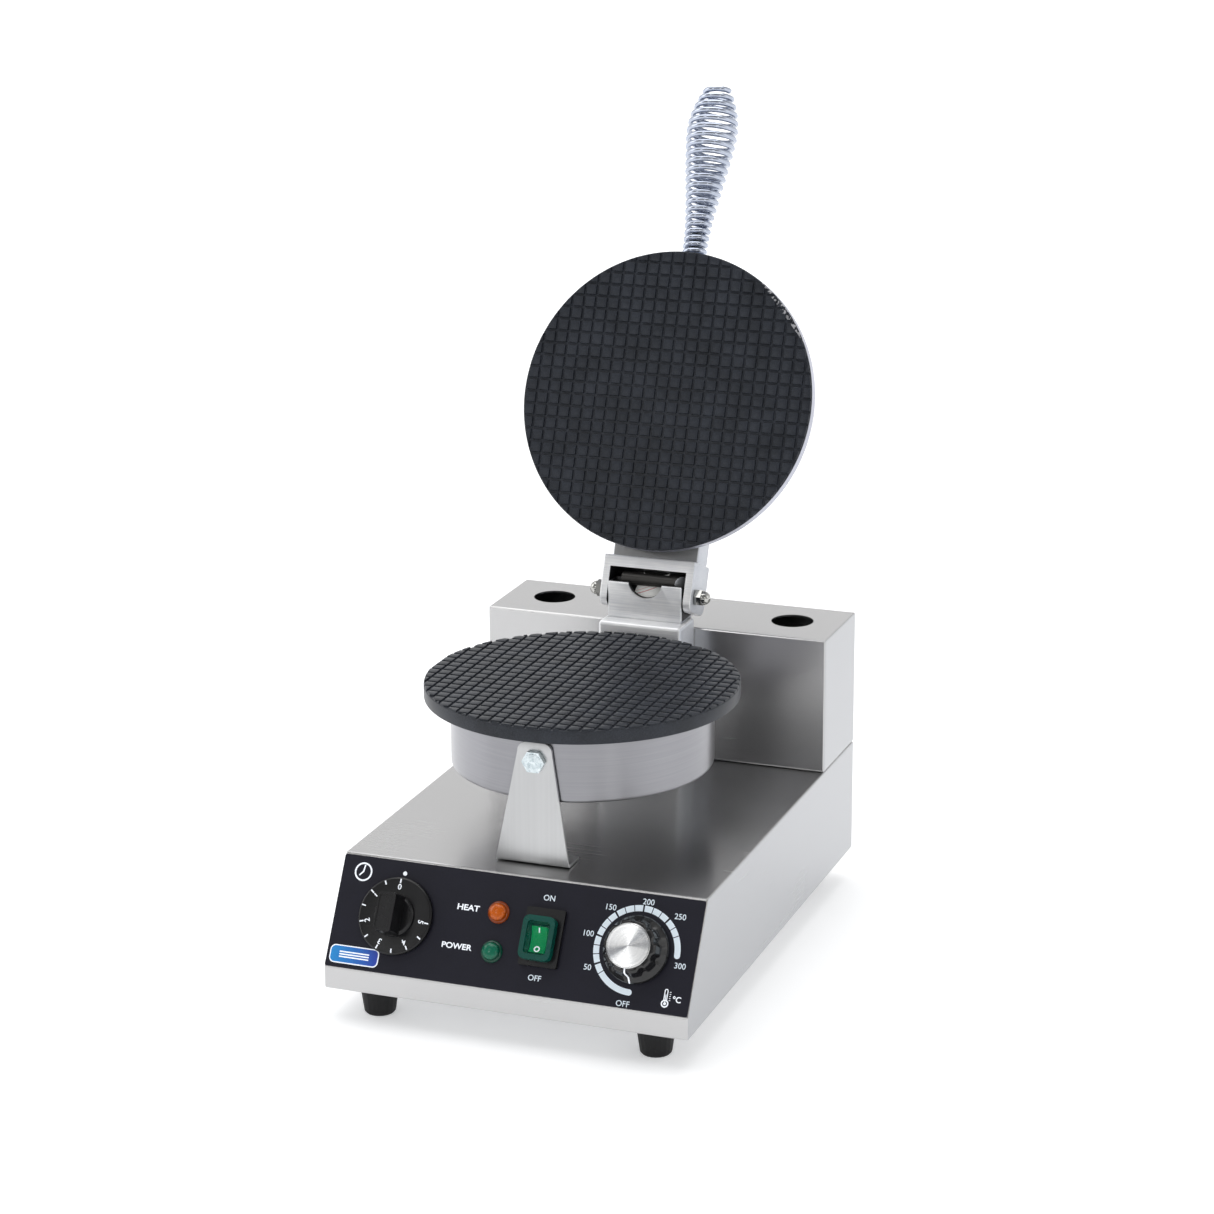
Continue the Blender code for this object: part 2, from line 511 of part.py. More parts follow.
# --------------------------------------------------------------------- lid
# In the lid's own axes +Z runs from the hinge towards the handle and -Y is
# the way the baking face looks.
hinge_yoke = ease(block("hinge_yoke", CASTING, lid_axis, (-32, -10, -11), (32, 22, 22.5)), 1.2)
neck = ease(block("yoke_neck", None, lid_axis, (-30, 1, 18), (30, 22, 56)), 1.2)
cut(hinge_yoke, neck, add=True)
cut(hinge_yoke, block("yoke_window", None, lid_axis, (-26.8, -14, -15), (26.8, 17, 14.7)))
cut(hinge_yoke, rod("upper_drum_seat", None, lid_axis, DRUM_R + 0.4, -60, 60, at=(0, 0, REACH),
                    turn=(90, 0, 0), sides=72))
cut(hinge_yoke, rod("neck_channel", None, lid_axis, 5.9, 8, 62, at=(0, 9, 0), stretch=1.65))
for name, side in (("left", -1), ("right", 1)):
    cut(hinge_yoke, rod(f"ear_bore_{name}", None, lid_axis, 3.3, 22, 38, turn=(0, side * 90, 0), sides=24))

turned("upper_plate", COATING, lid_axis,
       [(0, FACE), (PLATE_R - 0.8, FACE), (PLATE_R, FACE - 0.8), (PLATE_R, FACE - PLATE_T + 0.8),
        (PLATE_R - 0.8, FACE - PLATE_T), (0, FACE - PLATE_T)], sides=72, at=(0, 0, REACH), turn=(90, 0, 0))
u_top = FACE - PLATE_T - GAP
u_low = u_top - DRUM_H
upper_drum = turned("upper_drum", STAINLESS, lid_axis,
                    [(0, u_low + SHEET), (DRUM_R - SHEET, u_low + SHEET), (DRUM_R - SHEET, u_top),
                     (DRUM_R, u_top), (DRUM_R, u_low + 1.4), (DRUM_R - 1.4, u_low), (0, u_low)], sides=72,
                    at=(0, 0, REACH), turn=(90, 0, 0))
cut(upper_drum, rod("upper_drum_lead_hole", None, lid_axis, 5.9, 38, 62, at=(0, 9, 0), stretch=1.65))
ring = element_path(58, 0, (0, 0))
wire("upper_heating_element", ELEMENT, lid_axis, [(x, y, FACE - PLATE_T - 4.4) for x, y, z in ring], 3.6,
     at=(0, 0, REACH), turn=(90, 180, 0), detail=1)

# The lid's lead leaves the pedestal, passes behind the guard bar and enters
# the yoke's neck.
tilt = Matrix.Rotation(math.radians(-LEAN), 3, 'X')


def lid_point(y, z):
    p = tilt @ Vector((0, y, z))
    return (0, AXIS_Y + p.y, AXIS_Z + p.z)


wire("lid_heater_lead", SLEEVE, machine,
     [(0, CHANNEL_Y, 62), (0, CHANNEL_Y, 130), (0, CHANNEL_Y, 195), (0, CHANNEL_Y + 0.6, 206),
      (0, CHANNEL_Y + 3.6, 213.4), lid_point(6, 8), lid_point(9, 16), lid_point(9, 34), lid_point(9, 52)],
     5.2, kind='BEZIER', smooth=4, stretch=1.7)

# handle: stud, nut and a pear-shaped coil of sprung wire
HANDLE_Y = 0.3
drum_edge = REACH + DRUM_R
handle_axis = empty("handle_axis", lid_axis, (0, HANDLE_Y, drum_edge), -3.4)
cut(upper_drum, rod("stud_hole", None, handle_axis, 4.3, -6, 6, sides=20))
rod("handle_stud", STEEL, handle_axis, 3.9, -10, 36, sides=20)
stud_nut = rod("handle_nut", STEEL, handle_axis, 7.5, 0.6, 6.4, sides=6)
cut(stud_nut, rod("handle_nut_bore", None, handle_axis, 4.2, -4, 12, sides=20))
WIRE_R = 1.9
TURNS = 24
PER_TURN = 10
# (height along the handle, coil radius to the wire's centre)
PEAR = [(0.0, 6.6), (0.13, 6.7), (0.25, 7.7), (0.40, 10.2), (0.55, 13.0), (0.70, 15.3), (0.78, 15.7),
        (0.86, 14.2), (0.93, 11.4), (1.0, 7.6)]
COIL_LOW = 9.0
COIL_HIGH = 133.5


def pear(at):
    for (a, r0), (b, r1) in zip(PEAR, PEAR[1:]):
        if at <= b:
            s = (at - a) / (b - a)
            return r0 + (r1 - r0) * s
    return PEAR[-1][1]


def coil_height(s):
    """The coils lie closer together at the foot than in the belly."""
    return COIL_LOW + (COIL_HIGH - COIL_LOW) * (0.72 * s + 0.28 * s * s * (1.9 - 0.9 * s))


coil = []
for i in range(TURNS * PER_TURN + 1):
    s = i / (TURNS * PER_TURN)
    z = coil_height(s)
    r = pear((z - COIL_LOW) / (COIL_HIGH - COIL_LOW))
    a = 2 * math.pi * i / PER_TURN
    coil.append((r * math.cos(a), r * math.sin(a), z))
wire("spring_handle", CHROME, handle_axis, coil, WIRE_R, detail=2)
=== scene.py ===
import math
from math import cos, pi, radians, sin

import bmesh
import bpy
from mathutils import Matrix, Vector


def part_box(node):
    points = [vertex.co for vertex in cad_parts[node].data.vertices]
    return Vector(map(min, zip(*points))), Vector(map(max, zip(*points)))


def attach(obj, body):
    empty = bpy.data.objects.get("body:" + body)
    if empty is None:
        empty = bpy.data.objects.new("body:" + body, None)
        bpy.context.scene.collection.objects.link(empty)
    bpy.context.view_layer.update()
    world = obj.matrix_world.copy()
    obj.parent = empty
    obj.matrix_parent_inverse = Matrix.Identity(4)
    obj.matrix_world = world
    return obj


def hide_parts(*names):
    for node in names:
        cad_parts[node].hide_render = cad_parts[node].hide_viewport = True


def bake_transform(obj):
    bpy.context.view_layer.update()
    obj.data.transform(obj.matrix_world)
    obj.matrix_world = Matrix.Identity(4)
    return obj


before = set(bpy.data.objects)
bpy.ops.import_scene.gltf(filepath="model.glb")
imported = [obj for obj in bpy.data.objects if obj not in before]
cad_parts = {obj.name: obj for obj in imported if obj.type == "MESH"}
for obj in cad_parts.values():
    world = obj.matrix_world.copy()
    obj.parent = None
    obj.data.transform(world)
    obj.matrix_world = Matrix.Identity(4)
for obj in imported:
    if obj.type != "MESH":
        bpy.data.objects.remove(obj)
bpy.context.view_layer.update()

# Sizes below are in millimetres. Heights and depths are counted from the floor
# and from the housing's front lip, as in the CAD.
MM = 0.001
LID_BODY, BASE = "lid", "machine"


# ---- frames
def shift(x, y, z):
    return Matrix.Translation((x * MM, y * MM, z * MM))


def tilt(degrees, axis='X'):
    return Matrix.Rotation(radians(degrees), 4, axis)


HOUSING_LOW, HOUSING_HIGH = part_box("base_housing")
DECK = HOUSING_HIGH[2] / MM
LIP = 34.8                      # height of the front lip
PANEL_BACK = 36.8               # depth at which the sloping face meets the deck
PANEL_TILT = math.degrees(math.atan2(DECK - LIP, PANEL_BACK))
AXIS_Y, AXIS_Z = 267.3, 213.4   # hinge axis
LEAN = 22.4                     # the open lid leans back this far
REACH, FACE = 127.1, 19.7       # hinge axis to plate centre, and to the plate's face
PLATE_R, PLATE_T = 100.6, 9.9
PLATE_Y, PLATE_TOP = 140.2, 192.9
DRUM_R, DRUM_H = 84.0, 43.7
DRUM_GAP = 0.3                  # between a plate and its drum
TIMER_X, THERMO_X = -77.5, 80.9
SWITCH_X, SWITCH_V = 20.2, -0.6
LAMP_X, HEAT_V, POWER_V = -11.2, 11.2, -13.2
BOLT_X, BOLT_Z = 1.7, 166.4     # the front bracket's bolt
ARM_Z = 162                     # height of the lower lead's way into its drum
LEAD_R, RISER_R, PIN_R = 5.9, 4.2, 3.3   # channels of the two leads, bores of the hinge pins

MACHINE = Matrix.Translation((0, HOUSING_LOW[1], 0))
PANEL = MACHINE @ shift(0, PANEL_BACK / 2, (LIP + DECK) / 2) @ tilt(PANEL_TILT)
TIMER = PANEL @ shift(TIMER_X, 0, 0)
THERMO = PANEL @ shift(THERMO_X, 0, 0)
SWITCH = PANEL @ shift(SWITCH_X, SWITCH_V, 0)
ROCKER = SWITCH @ shift(0, 0, -1.5) @ tilt(6.0)
BOOT_SHIFT = shift(-1.4, -1.2, 0)   # the boot sits a little low and to the left in its frame
LOWER = MACHINE @ shift(0, PLATE_Y, PLATE_TOP)
LID = MACHINE @ shift(0, AXIS_Y, AXIS_Z) @ tilt(-LEAN)
UPPER = LID @ shift(0, -FACE, REACH) @ tilt(90)
HANDLE = LID @ shift(0, 0.3, REACH + DRUM_R) @ tilt(-3.4)


# ---- mesh helpers
def lathe(profile, sides=128, radius_at=None):
    """A closed (radius, height) profile from axis to axis, or a closed loop, turned about Z."""
    bm = bmesh.new()
    loop = profile[0] == profile[-1] and profile[0][0] > 0
    rings = []
    for r, z in profile[:-1] if loop else profile:
        if r == 0:
            rings.append([bm.verts.new((0, 0, z))])
            continue
        ring = []
        for i in range(sides):
            a = 2 * pi * i / sides
            rr = radius_at(r, z, a) if radius_at else r
            ring.append(bm.verts.new((rr * cos(a), rr * sin(a), z)))
        rings.append(ring)
    pairs = list(zip(rings, rings[1:]))
    if loop:
        pairs.append((rings[-1], rings[0]))
    for low, high in pairs:
        for i in range(sides):
            j = (i + 1) % sides
            quad = [low[i % len(low)], low[j % len(low)], high[j % len(high)], high[i % len(high)]]
            corners = list(dict.fromkeys(quad))
            if len(corners) > 2:
                bm.faces.new(corners)
    return bm


def fillet(profile, radii, steps=4):
    """Rounds the inner corners of a (radius, height) profile, each by its own radius."""
    out = [profile[0]]
    for i in range(1, len(profile) - 1):
        r = radii[i]
        p = Vector(profile[i])
        a = Vector(profile[i - 1]) - p
        b = Vector(profile[i + 1]) - p
        if r <= 0:
            out.append(tuple(p))
            continue
        half = a.angle(b) / 2
        reach = min(r / math.tan(half), a.length * 0.49, b.length * 0.49)
        start, end = p + a.normalized() * reach, p + b.normalized() * reach
        for s in range(steps + 1):
            t = s / steps
            q = start * (1 - t) ** 2 + p * 2 * t * (1 - t) + end * t ** 2
            out.append(tuple(q))
    out.append(profile[-1])
    return out


def block(low, high):
    bm = bmesh.new()
    bmesh.ops.create_cube(bm, size=1.0)
    bmesh.ops.scale(bm, vec=[b - a for a, b in zip(low, high)], verts=bm.verts)
    bmesh.ops.translate(bm, vec=[(a + b) / 2 for a, b in zip(low, high)], verts=bm.verts)
    return bm


def skin(bm, rings, closed=False):
    """Joins rows of vertices by faces, round from end to end or with both ends capped."""
    if not closed:
        bm.faces.new(rings[0])
        bm.faces.new(list(reversed(rings[-1])))
    for a, b in zip(rings, rings[1:] + (rings[:1] if closed else [])):
        for k in range(len(a)):
            m = (k + 1) % len(a)
            bm.faces.new((a[k], b[k], b[m], a[m]))
    return bm


def rows(loops, closed=False):
    """A mesh through loops of points."""
    bm = bmesh.new()
    return skin(bm, [[bm.verts.new(p) for p in loop] for loop in loops], closed)


def sheet(outline, z0, z1):
    """An (x, y) outline swept from z0 to z1."""
    return rows([[(x, y, z) for x, y in outline] for z in (z0, z1)])


def rod(radius, z0, z1, sides=48):
    return lathe([(0, z0), (radius, z0), (radius, z1), (0, z1)], sides)


def turn(bm, matrix):
    """Moves a mesh in millimetres by a matrix made with shift and tilt."""
    m = matrix.copy()
    m.translation = m.translation / MM
    bmesh.ops.transform(bm, matrix=m, verts=bm.verts)
    return bm


def slab(outline, x0, x1):
    """A (y, z) outline swept along X."""
    return turn(sheet(outline, x0, x1), tilt(90, 'Z') @ tilt(90, 'X'))


def cross_rod(radius, x0, x1, y, z, sides=32):
    return turn(rod(radius, x0, x1, sides), shift(0, y, z) @ tilt(90, 'Y'))


def oval_rod(radius, z0, z1, y=0, sides=48):
    bm = rod(radius, z0, z1, sides)
    bmesh.ops.scale(bm, vec=(1.65, 1, 1), verts=bm.verts)
    return turn(bm, shift(0, y, 0))


def soften(bm, width, segments=3, angle=30, where=None):
    edges = [e for e in bm.edges
             if len(e.link_faces) == 2 and math.degrees(e.calc_face_angle(0)) > angle
             and (where is None or where(e))]
    bmesh.ops.bevel(bm, geom=edges, offset=width, offset_type='OFFSET', segments=segments, profile=0.5,
                    affect='EDGES', clamp_overlap=True)
    return bm


def mesh_of(bm, name="scrap"):
    data = bpy.data.meshes.new(name)
    bm.to_mesh(data)
    bm.free()
    return data


def show(name, data):
    """A new object in the scene."""
    obj = bpy.data.objects.new(name, data)
    bpy.context.scene.collection.objects.link(obj)
    return obj


def join(*meshes):
    """Puts several closed meshes into the first one."""
    target = meshes[0]
    for other in meshes[1:]:
        scrap = mesh_of(other)
        target.from_mesh(scrap)
        bpy.data.meshes.remove(scrap)
    return target


def carve(bm, *cutters, add=False):
    """Cuts closed meshes out of bm, or adds them to it."""
    things = []
    for item in (bm, *cutters):
        bmesh.ops.recalc_face_normals(item, faces=item.faces)
        things.append(show("scrap", mesh_of(item)))
    for cutter in things[1:]:
        mod = things[0].modifiers.new("carve", 'BOOLEAN')
        mod.operation = 'UNION' if add else 'DIFFERENCE'
        mod.solver = 'EXACT'
        mod.object = cutter
    graph = bpy.context.evaluated_depsgraph_get()
    result = bmesh.new()
    result.from_object(things[0], graph)
    for obj in things:
        data = obj.data
        bpy.data.objects.remove(obj)
        bpy.data.meshes.remove(data)
    bmesh.ops.remove_doubles(result, verts=result.verts, dist=0.0005)
    bmesh.ops.dissolve_degenerate(result, edges=result.edges, dist=0.0005)
    return result


def tube(path, radius, sides=12):
    """A round bar along a path, with closed ends."""
    points = [Vector(p) for p in path]
    loops = []
    normal = None
    for i, p in enumerate(points):
        along = (points[min(i + 1, len(points) - 1)] - points[max(i - 1, 0)]).normalized()
        normal = normal or along.orthogonal().normalized()
        normal = (normal - along * normal.dot(along)).normalized()
        side = along.cross(normal)
        loops.append([p + (normal * cos(a) + side * sin(a)) * radius
                      for a in [2 * pi * k / sides for k in range(sides)]])
    return rows(loops)


def rounded_rectangle(width, height, radius, steps=6, centre=(0, 0)):
    points = []
    for sx, sy, start in ((1, 1, 0), (-1, 1, 90), (-1, -1, 180), (1, -1, 270)):
        cx = centre[0] + sx * (width / 2 - radius)
        cy = centre[1] + sy * (height / 2 - radius)
        for i in range(steps + 1):
            a = radians(start + 90 * i / steps)
            points.append((cx + radius * cos(a), cy + radius * sin(a)))
    return points


def piece(name, bm, place, look, body, stands_for=(), crease=35.0):
    """Turns a mesh in millimetres into a finished piece that rides on a body, if one is named."""
    bmesh.ops.recalc_face_normals(bm, faces=bm.faces)
    bmesh.ops.scale(bm, vec=(MM, MM, MM), verts=bm.verts)
    data = mesh_of(bm, name)
    data.shade_smooth()
    data.set_sharp_from_angle(angle=radians(crease))
    obj = show(name, data)
    obj.matrix_world = place
    data.materials.append(look.mat)
    if body:
        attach(obj, body)
    if stands_for:
        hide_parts(*stands_for)
    return obj


# ---- materials
class Field:
    """A value worked out by nodes. Arithmetic on it adds Math nodes."""

    def __init__(self, nodes, socket):
        self.nodes, self.socket = nodes, socket


for method, operation in (("add", 'ADD'), ("sub", 'SUBTRACT'), ("mul", 'MULTIPLY'), ("truediv", 'DIVIDE'),
                          ("pow", 'POWER'), ("gt", 'GREATER_THAN'), ("lt", 'LESS_THAN'), ("abs", 'ABSOLUTE')):
    setattr(Field, f"__{method}__", lambda self, *other, kind=operation: self.nodes.math(kind, self, *other))


class Nodes:
    """A node tree, with short names for what the looks need."""

    def __init__(self, tree):
        self.tree = tree

    def put(self, socket, value):
        """Links a field or an output to a socket, or sets a plain value."""
        if isinstance(value, Field):
            value = value.socket
        if isinstance(value, bpy.types.NodeSocket):
            self.tree.links.new(value, socket)
        else:
            socket.default_value = (*value[:3], 1.0) if socket.type == 'RGBA' else value

    def node(self, kind, inputs, **settings):
        node = self.tree.nodes.new("ShaderNode" + kind)
        for key, value in settings.items():
            setattr(node, key, value)
        for key, value in inputs.items():
            self.put(node.inputs[key], value)
        return node

    def math(self, operation, *values):
        node = self.node("Math", dict(enumerate(values)), operation=operation)
        return Field(self, node.outputs[0])

    def spread(self, fac, low, high, start=0.3, end=0.7, **settings):
        """Maps start..end onto low..high."""
        ends = {"From Min": start, "From Max": end, "To Min": low, "To Max": high, "Value": fac}
        return Field(self, self.node("MapRange", ends, **settings).outputs["Result"])

    def place(self, source="Object"):
        return self.node("TexCoord", {}).outputs[source]

    def xyz(self, source="Object"):
        """The three parts of a coordinate."""
        return [Field(self, part) for part in self.node("SeparateXYZ", {0: self.place(source)}).outputs]

    def noise(self, scale, detail=2.0, stretch=(1, 1, 1), rough=0.5, vector=None):
        if not vector:
            vector = self.node("Mapping", {"Vector": self.place(), "Scale": stretch}).outputs["Vector"]
        settings = {"Scale": scale, "Detail": detail, "Roughness": rough, "Vector": vector}
        return Field(self, self.node("TexNoise", settings).outputs["Fac"])

    def mix(self, fac, a, b, blend='MIX'):
        """One colour over another."""
        return self.node("Mix", {0: fac, 6: a, 7: b}, data_type='RGBA', blend_type=blend).outputs[2]


class Look(Nodes):
    """A Principled material whose colour, roughness and bump come from procedural nodes."""

    def __init__(self, name, colour, roughness, metallic=0.0, **sockets):
        self.mat = bpy.data.materials.new(name)
        self.mat.use_nodes = True
        self.mat.diffuse_color = (*colour, 1.0)
        super().__init__(self.mat.node_tree)
        self.bsdf = self.tree.nodes["Principled BSDF"]
        self.colour = colour
        self.set(Base_Color=colour, Roughness=roughness, Metallic=metallic, **sockets)

    def set(self, **sockets):
        for key, value in sockets.items():
            self.put(self.bsdf.inputs[key.replace("_", " ")], value)

    def tint(self, fac, low, high, start=0.3, end=0.7):
        """Drives the base colour between two colours."""
        node = self.node("ValToRGB", {"Fac": fac})
        for k, (at, colour) in enumerate(((start, low), (end, high))):
            node.color_ramp.elements[k].position = at
            node.color_ramp.elements[k].color = (*colour, 1.0)
        self.ramp = node.outputs["Color"]
        self.set(Base_Color=self.ramp)

    def shade(self, fac, by=0.15, start=0.3, end=0.7):
        low, high = ([min(1.0, c * (1 + way * by)) for c in self.colour] for way in (-1, 1))
        self.tint(fac, low, high, start, end)

    def gloss(self, fac, low, high, start=0.3, end=0.7):
        self.set(Roughness=self.spread(fac, low, high, start, end))

    def bump(self, fac, strength, distance):
        node = self.node("Bump", {"Strength": strength, "Distance": distance, "Height": fac})
        self.set(Normal=node.outputs["Normal"])


def brushed(name, colour, roughness, by=0.07, broad=0.05, along_x=False, spun=False, anisotropy=0.0):
    """Brushed or spun metal: fine hairlines along Z, along X or round Z, with broad mottling."""
    look = Look(name, colour, roughness, 1.0)
    if spun:
        x, y, z = look.xyz()
        rounds = look.node("CombineXYZ", {0: (x ** 2.0 + y ** 2.0) ** 0.5, 1: x * 0.02, 2: z})
        hair = look.noise(1000.0, 3.0, vector=rounds.outputs[0])
    else:
        hair = look.noise(700.0, 3.0, (0.01, 1, 1) if along_x else (1, 1, 0.01))
    cloud = look.noise(22.0, 3.0)
    look.shade(hair * 0.8 + cloud * 0.2, by)
    look.gloss(cloud, roughness - broad, roughness + broad)
    if anisotropy:
        tangent = look.node("Tangent", {}, direction_type='RADIAL', axis='Z')
        look.set(Anisotropic=anisotropy, Anisotropic_Rotation=0.25, Tangent=tangent.outputs[0])
    else:
        look.bump(hair, 0.06, 0.00001)
    return look


def sheet_metal(name, colour, roughness):
    """Folded sheet: the hairlines run along X, and along Y on the faces that look sideways, whose colour is
    also multiplied darker as painted shade.
    """
    look = Look(name, colour, roughness, 1.0)
    sideways = abs(look.xyz("Normal")[0]) > 0.7
    lines = {2: look.noise(800.0, 3.0, (0.008, 1, 1)), 3: look.noise(800.0, 3.0, (1, 0.008, 1))}
    hair = Field(look, look.node("Mix", {0: sideways, **lines}, data_type='FLOAT').outputs[0])
    both = hair * 0.5 + look.noise(14.0, 4.0) * 0.5
    look.shade(both, 0.025)
    # painted shade: the faces that look sideways are multiplied darker
    look.set(Base_Color=look.mix(sideways, look.ramp, (0.80, 0.815, 0.84), 'MULTIPLY'))
    look.gloss(both, roughness - 0.02, roughness + 0.02)
    look.bump(hair, 0.012, 0.00001)
    across = look.node("Mix", {0: sideways, 4: (0, 1, 1), 5: (0, 0, 1)}, data_type='VECTOR')
    look.set(Anisotropic=0.7, Tangent=across.outputs[1])
    return look


def moulded(name, colour, roughness, grain=2600.0, depth=0.00002, by=0.12, **sockets):
    """Moulded plastic, rubber or paint with a fine even texture."""
    look = Look(name, colour, roughness, **sockets)
    fine, cloud = look.noise(grain), look.noise(60.0)
    look.shade(fine * 0.6 + cloud * 0.4, by)
    look.gloss(cloud, roughness - 0.04, roughness + 0.05)
    look.bump(fine, 0.3, depth)
    return look


def cast(name, colour, roughness, metallic=1.0):
    """Cast or plated metal: soft mottling, fine pits."""
    look = Look(name, colour, roughness, metallic)
    pits, cloud = look.noise(900.0, 4.0), look.noise(90.0, 3.0)
    look.shade(pits * 0.5 + cloud * 0.5, 0.12)
    look.gloss(cloud, roughness - 0.08, roughness + 0.08)
    look.bump(pits, 0.35, 0.00008)
    return look


def spun_cap_look():
    """Spun aluminium with soft radial sectors painted into its colour by angle: a painted reflection standing
    for the bow-tie highlights of its turning marks.
    """
    look = brushed("spun_cap", (0.93, 0.94, 0.95), 0.2, spun=True, anisotropy=0.85)
    x, y = look.xyz()[:2]
    # painted reflection: darker radial sectors by angle, fixed to the cap
    angle = look.math('ARCTAN2', y, x)
    wide = look.math('SINE', angle * 2.0 + 0.35)
    fine = look.math('SINE', angle * 7.0 + 1.1)
    dark = look.spread(wide * 0.75 + fine * 0.25, 0.0, 1.0, 0.15, 0.95)
    look.set(Base_Color=look.mix(dark, look.ramp, (0.46, 0.47, 0.49), 'MULTIPLY'))
    return look


def zinc_look():
    """Blue-passivated zinc with frosty crystals and small stains."""
    look = Look("blue_zinc", (0.64, 0.70, 0.73), 0.3, 0.85)
    frost, stains = look.noise(650.0, 5.0, rough=0.7), look.noise(260.0, 3.0)
    look.tint(frost * 0.55 + stains * 0.45, (0.42, 0.50, 0.53), (0.78, 0.85, 0.88), 0.38, 0.58)
    look.gloss(frost, 0.2, 0.42)
    look.bump(frost, 0.5, 0.00006)
    return look


stainless = sheet_metal("stainless_sheet", (0.545, 0.543, 0.545), 0.26)
# painted shade: the drums' steel has a darker colour than the sheet, standing for the plates' shadow on them
drum_steel_shaded = brushed("drum_stainless", (0.32, 0.32, 0.34), 0.30, 0.05, 0.01, spun=True, anisotropy=0.85)
bracket_steel = brushed("bracket_sheet", (0.52, 0.525, 0.53), 0.34, 0.03)
casting = cast("cast_aluminium", (0.80, 0.82, 0.86), 0.5, 0.55)
zinc = cast("zinc_plated_steel", (0.66, 0.70, 0.72), 0.26)
chrome = brushed("bright_wire", (0.46, 0.50, 0.59), 0.16, 0.03, 0.03)
nut_chrome = brushed("nut_chrome", (0.46, 0.46, 0.44), 0.10, 0.03, 0.03, along_x=True)
cap_metal = spun_cap_look()
bolt_zinc = zinc_look()
dark_steel = cast("dark_steel", (0.10, 0.10, 0.10), 0.45)
rubber = moulded("black_rubber", (0.008, 0.008, 0.009), 0.6, Specular_IOR_Level=0.3)
black_gloss = moulded("black_plastic_gloss", (0.010, 0.010, 0.011), 0.14, 400.0, 0.000004)
black_satin = moulded("black_plastic_satin", (0.006, 0.006, 0.007), 0.30, 1300.0, 0.00004,
                      Specular_IOR_Level=0.34)
label_film = moulded("label_film", (0.014, 0.014, 0.023), 0.45, 1500.0, 0.00001, 0.18,
                     Specular_IOR_Level=0.22)
# painted light: both prints glow a little by emission, which brightens them
print_white_glow = moulded("white_print", (0.86, 0.89, 0.94), 0.5, by=0.05,
                      Emission_Color=(0.86, 0.92, 1.0), Emission_Strength=0.38)
print_grey_glow = moulded("grey_print", (0.66, 0.74, 0.80), 0.5, by=0.05,
                     Emission_Color=(0.66, 0.76, 0.86), Emission_Strength=0.28)
ceramic = moulded("ceramic", (0.74, 0.73, 0.69), 0.5, 900.0, by=0.06)
bare_edge = brushed("bare_edge", (0.46, 0.47, 0.54), 0.36, spun=True)


WORN_AT = radians(42)      # where the upper plate's coating has chipped off its rim
WORN_FROM = 0.0972              # distance from the centre, along that direction, where chips begin


def coating_look(name, worn=False):
    """Dark non-stick coating, lightly speckled, with a soft sheen; worn adds bare chips at one place."""
    look = Look(name, (0.026, 0.029, 0.037), 0.38, Specular_IOR_Level=0.28)
    cloud, grain = look.noise(45.0, 3.0), look.noise(1500.0, 3.0)
    look.tint(cloud * 0.4 + grain * 0.6, (0.010, 0.012, 0.016), (0.032, 0.037, 0.049), 0.36, 0.64)
    look.gloss(grain, 0.32, 0.44)
    look.bump(grain, 0.6, 0.00004)
    if worn:
        x, y = look.xyz()[:2]
        near = x * cos(WORN_AT) + y * sin(WORN_AT) > WORN_FROM
        chips = look.noise(420.0, 3.0) > 0.54
        look.set(Base_Color=look.mix(near * chips, look.ramp, (0.36, 0.36, 0.38)))
    return look


coating = coating_look("non_stick_coating")
worn_coating = coating_look("worn_non_stick_coating", worn=True)


def machined_look(name, *shade_boxes):
    """Cast aluminium, ground smooth: fine lines along X over soft mottling. Faces that look sideways are
    painted darker. Each shade box is a box, in millimetres, whose inside is painted near black, with how
    black: painted shade in hollows and under the plate."""
    look = Look(name, (0.90, 0.915, 0.945), 0.42, 0.5)
    lines = look.noise(1300.0, 4.0, (0.015, 1, 1), 0.6)
    look.shade(lines * 0.65 + look.noise(70.0, 3.0) * 0.35, 0.13, 0.35, 0.65)
    look.gloss(lines, 0.36, 0.48)
    look.bump(lines, 0.25, 0.00003)
    sideways = abs(look.xyz("Normal")[0]) > 0.7
    # painted shade: the faces that look sideways are multiplied darker
    colour = look.mix(sideways, look.ramp, (0.66, 0.68, 0.72), 'MULTIPLY')
    # painted shade: each box darkens the colour inside it towards black
    for low, high, black in shade_boxes:
        in_shade = black
        for at, start, end in zip(look.xyz(), low, high):
            in_shade = (at < end * MM) * ((at > start * MM) * in_shade)
        colour = look.mix(in_shade, colour, (0.015, 0.015, 0.017))
    look.set(Base_Color=colour)
    return look


# ---- the plates
PITCH = 8.4
PAD = 6.4          # width of a raised square at its top
GROOVE = 1.15      # depth of the grooves


def clip(outline, radius, sides=180):
    """An (x, y) convex outline cut by a circle about the origin."""
    if all(math.hypot(x, y) <= radius for x, y in outline):
        return outline
    result = outline
    for k in range(sides):
        a = 2 * pi * k / sides
        nx, ny = cos(a), sin(a)
        kept = []
        for i, p in enumerate(result):
            q = result[(i + 1) % len(result)]
            dp = p[0] * nx + p[1] * ny - radius
            dq = q[0] * nx + q[1] * ny - radius
            if dp <= 0:
                kept.append(p)
            if dp * dq < 0:
                t = dp / (dp - dq)
                kept.append((p[0] + (q[0] - p[0]) * t, p[1] + (q[1] - p[1]) * t))
        result = kept
        if len(result) < 3:
            return []
    return result


def area(outline):
    return abs(sum(p[0] * q[1] - q[0] * p[1] for p, q in zip(outline, outline[1:] + outline[:1]))) / 2


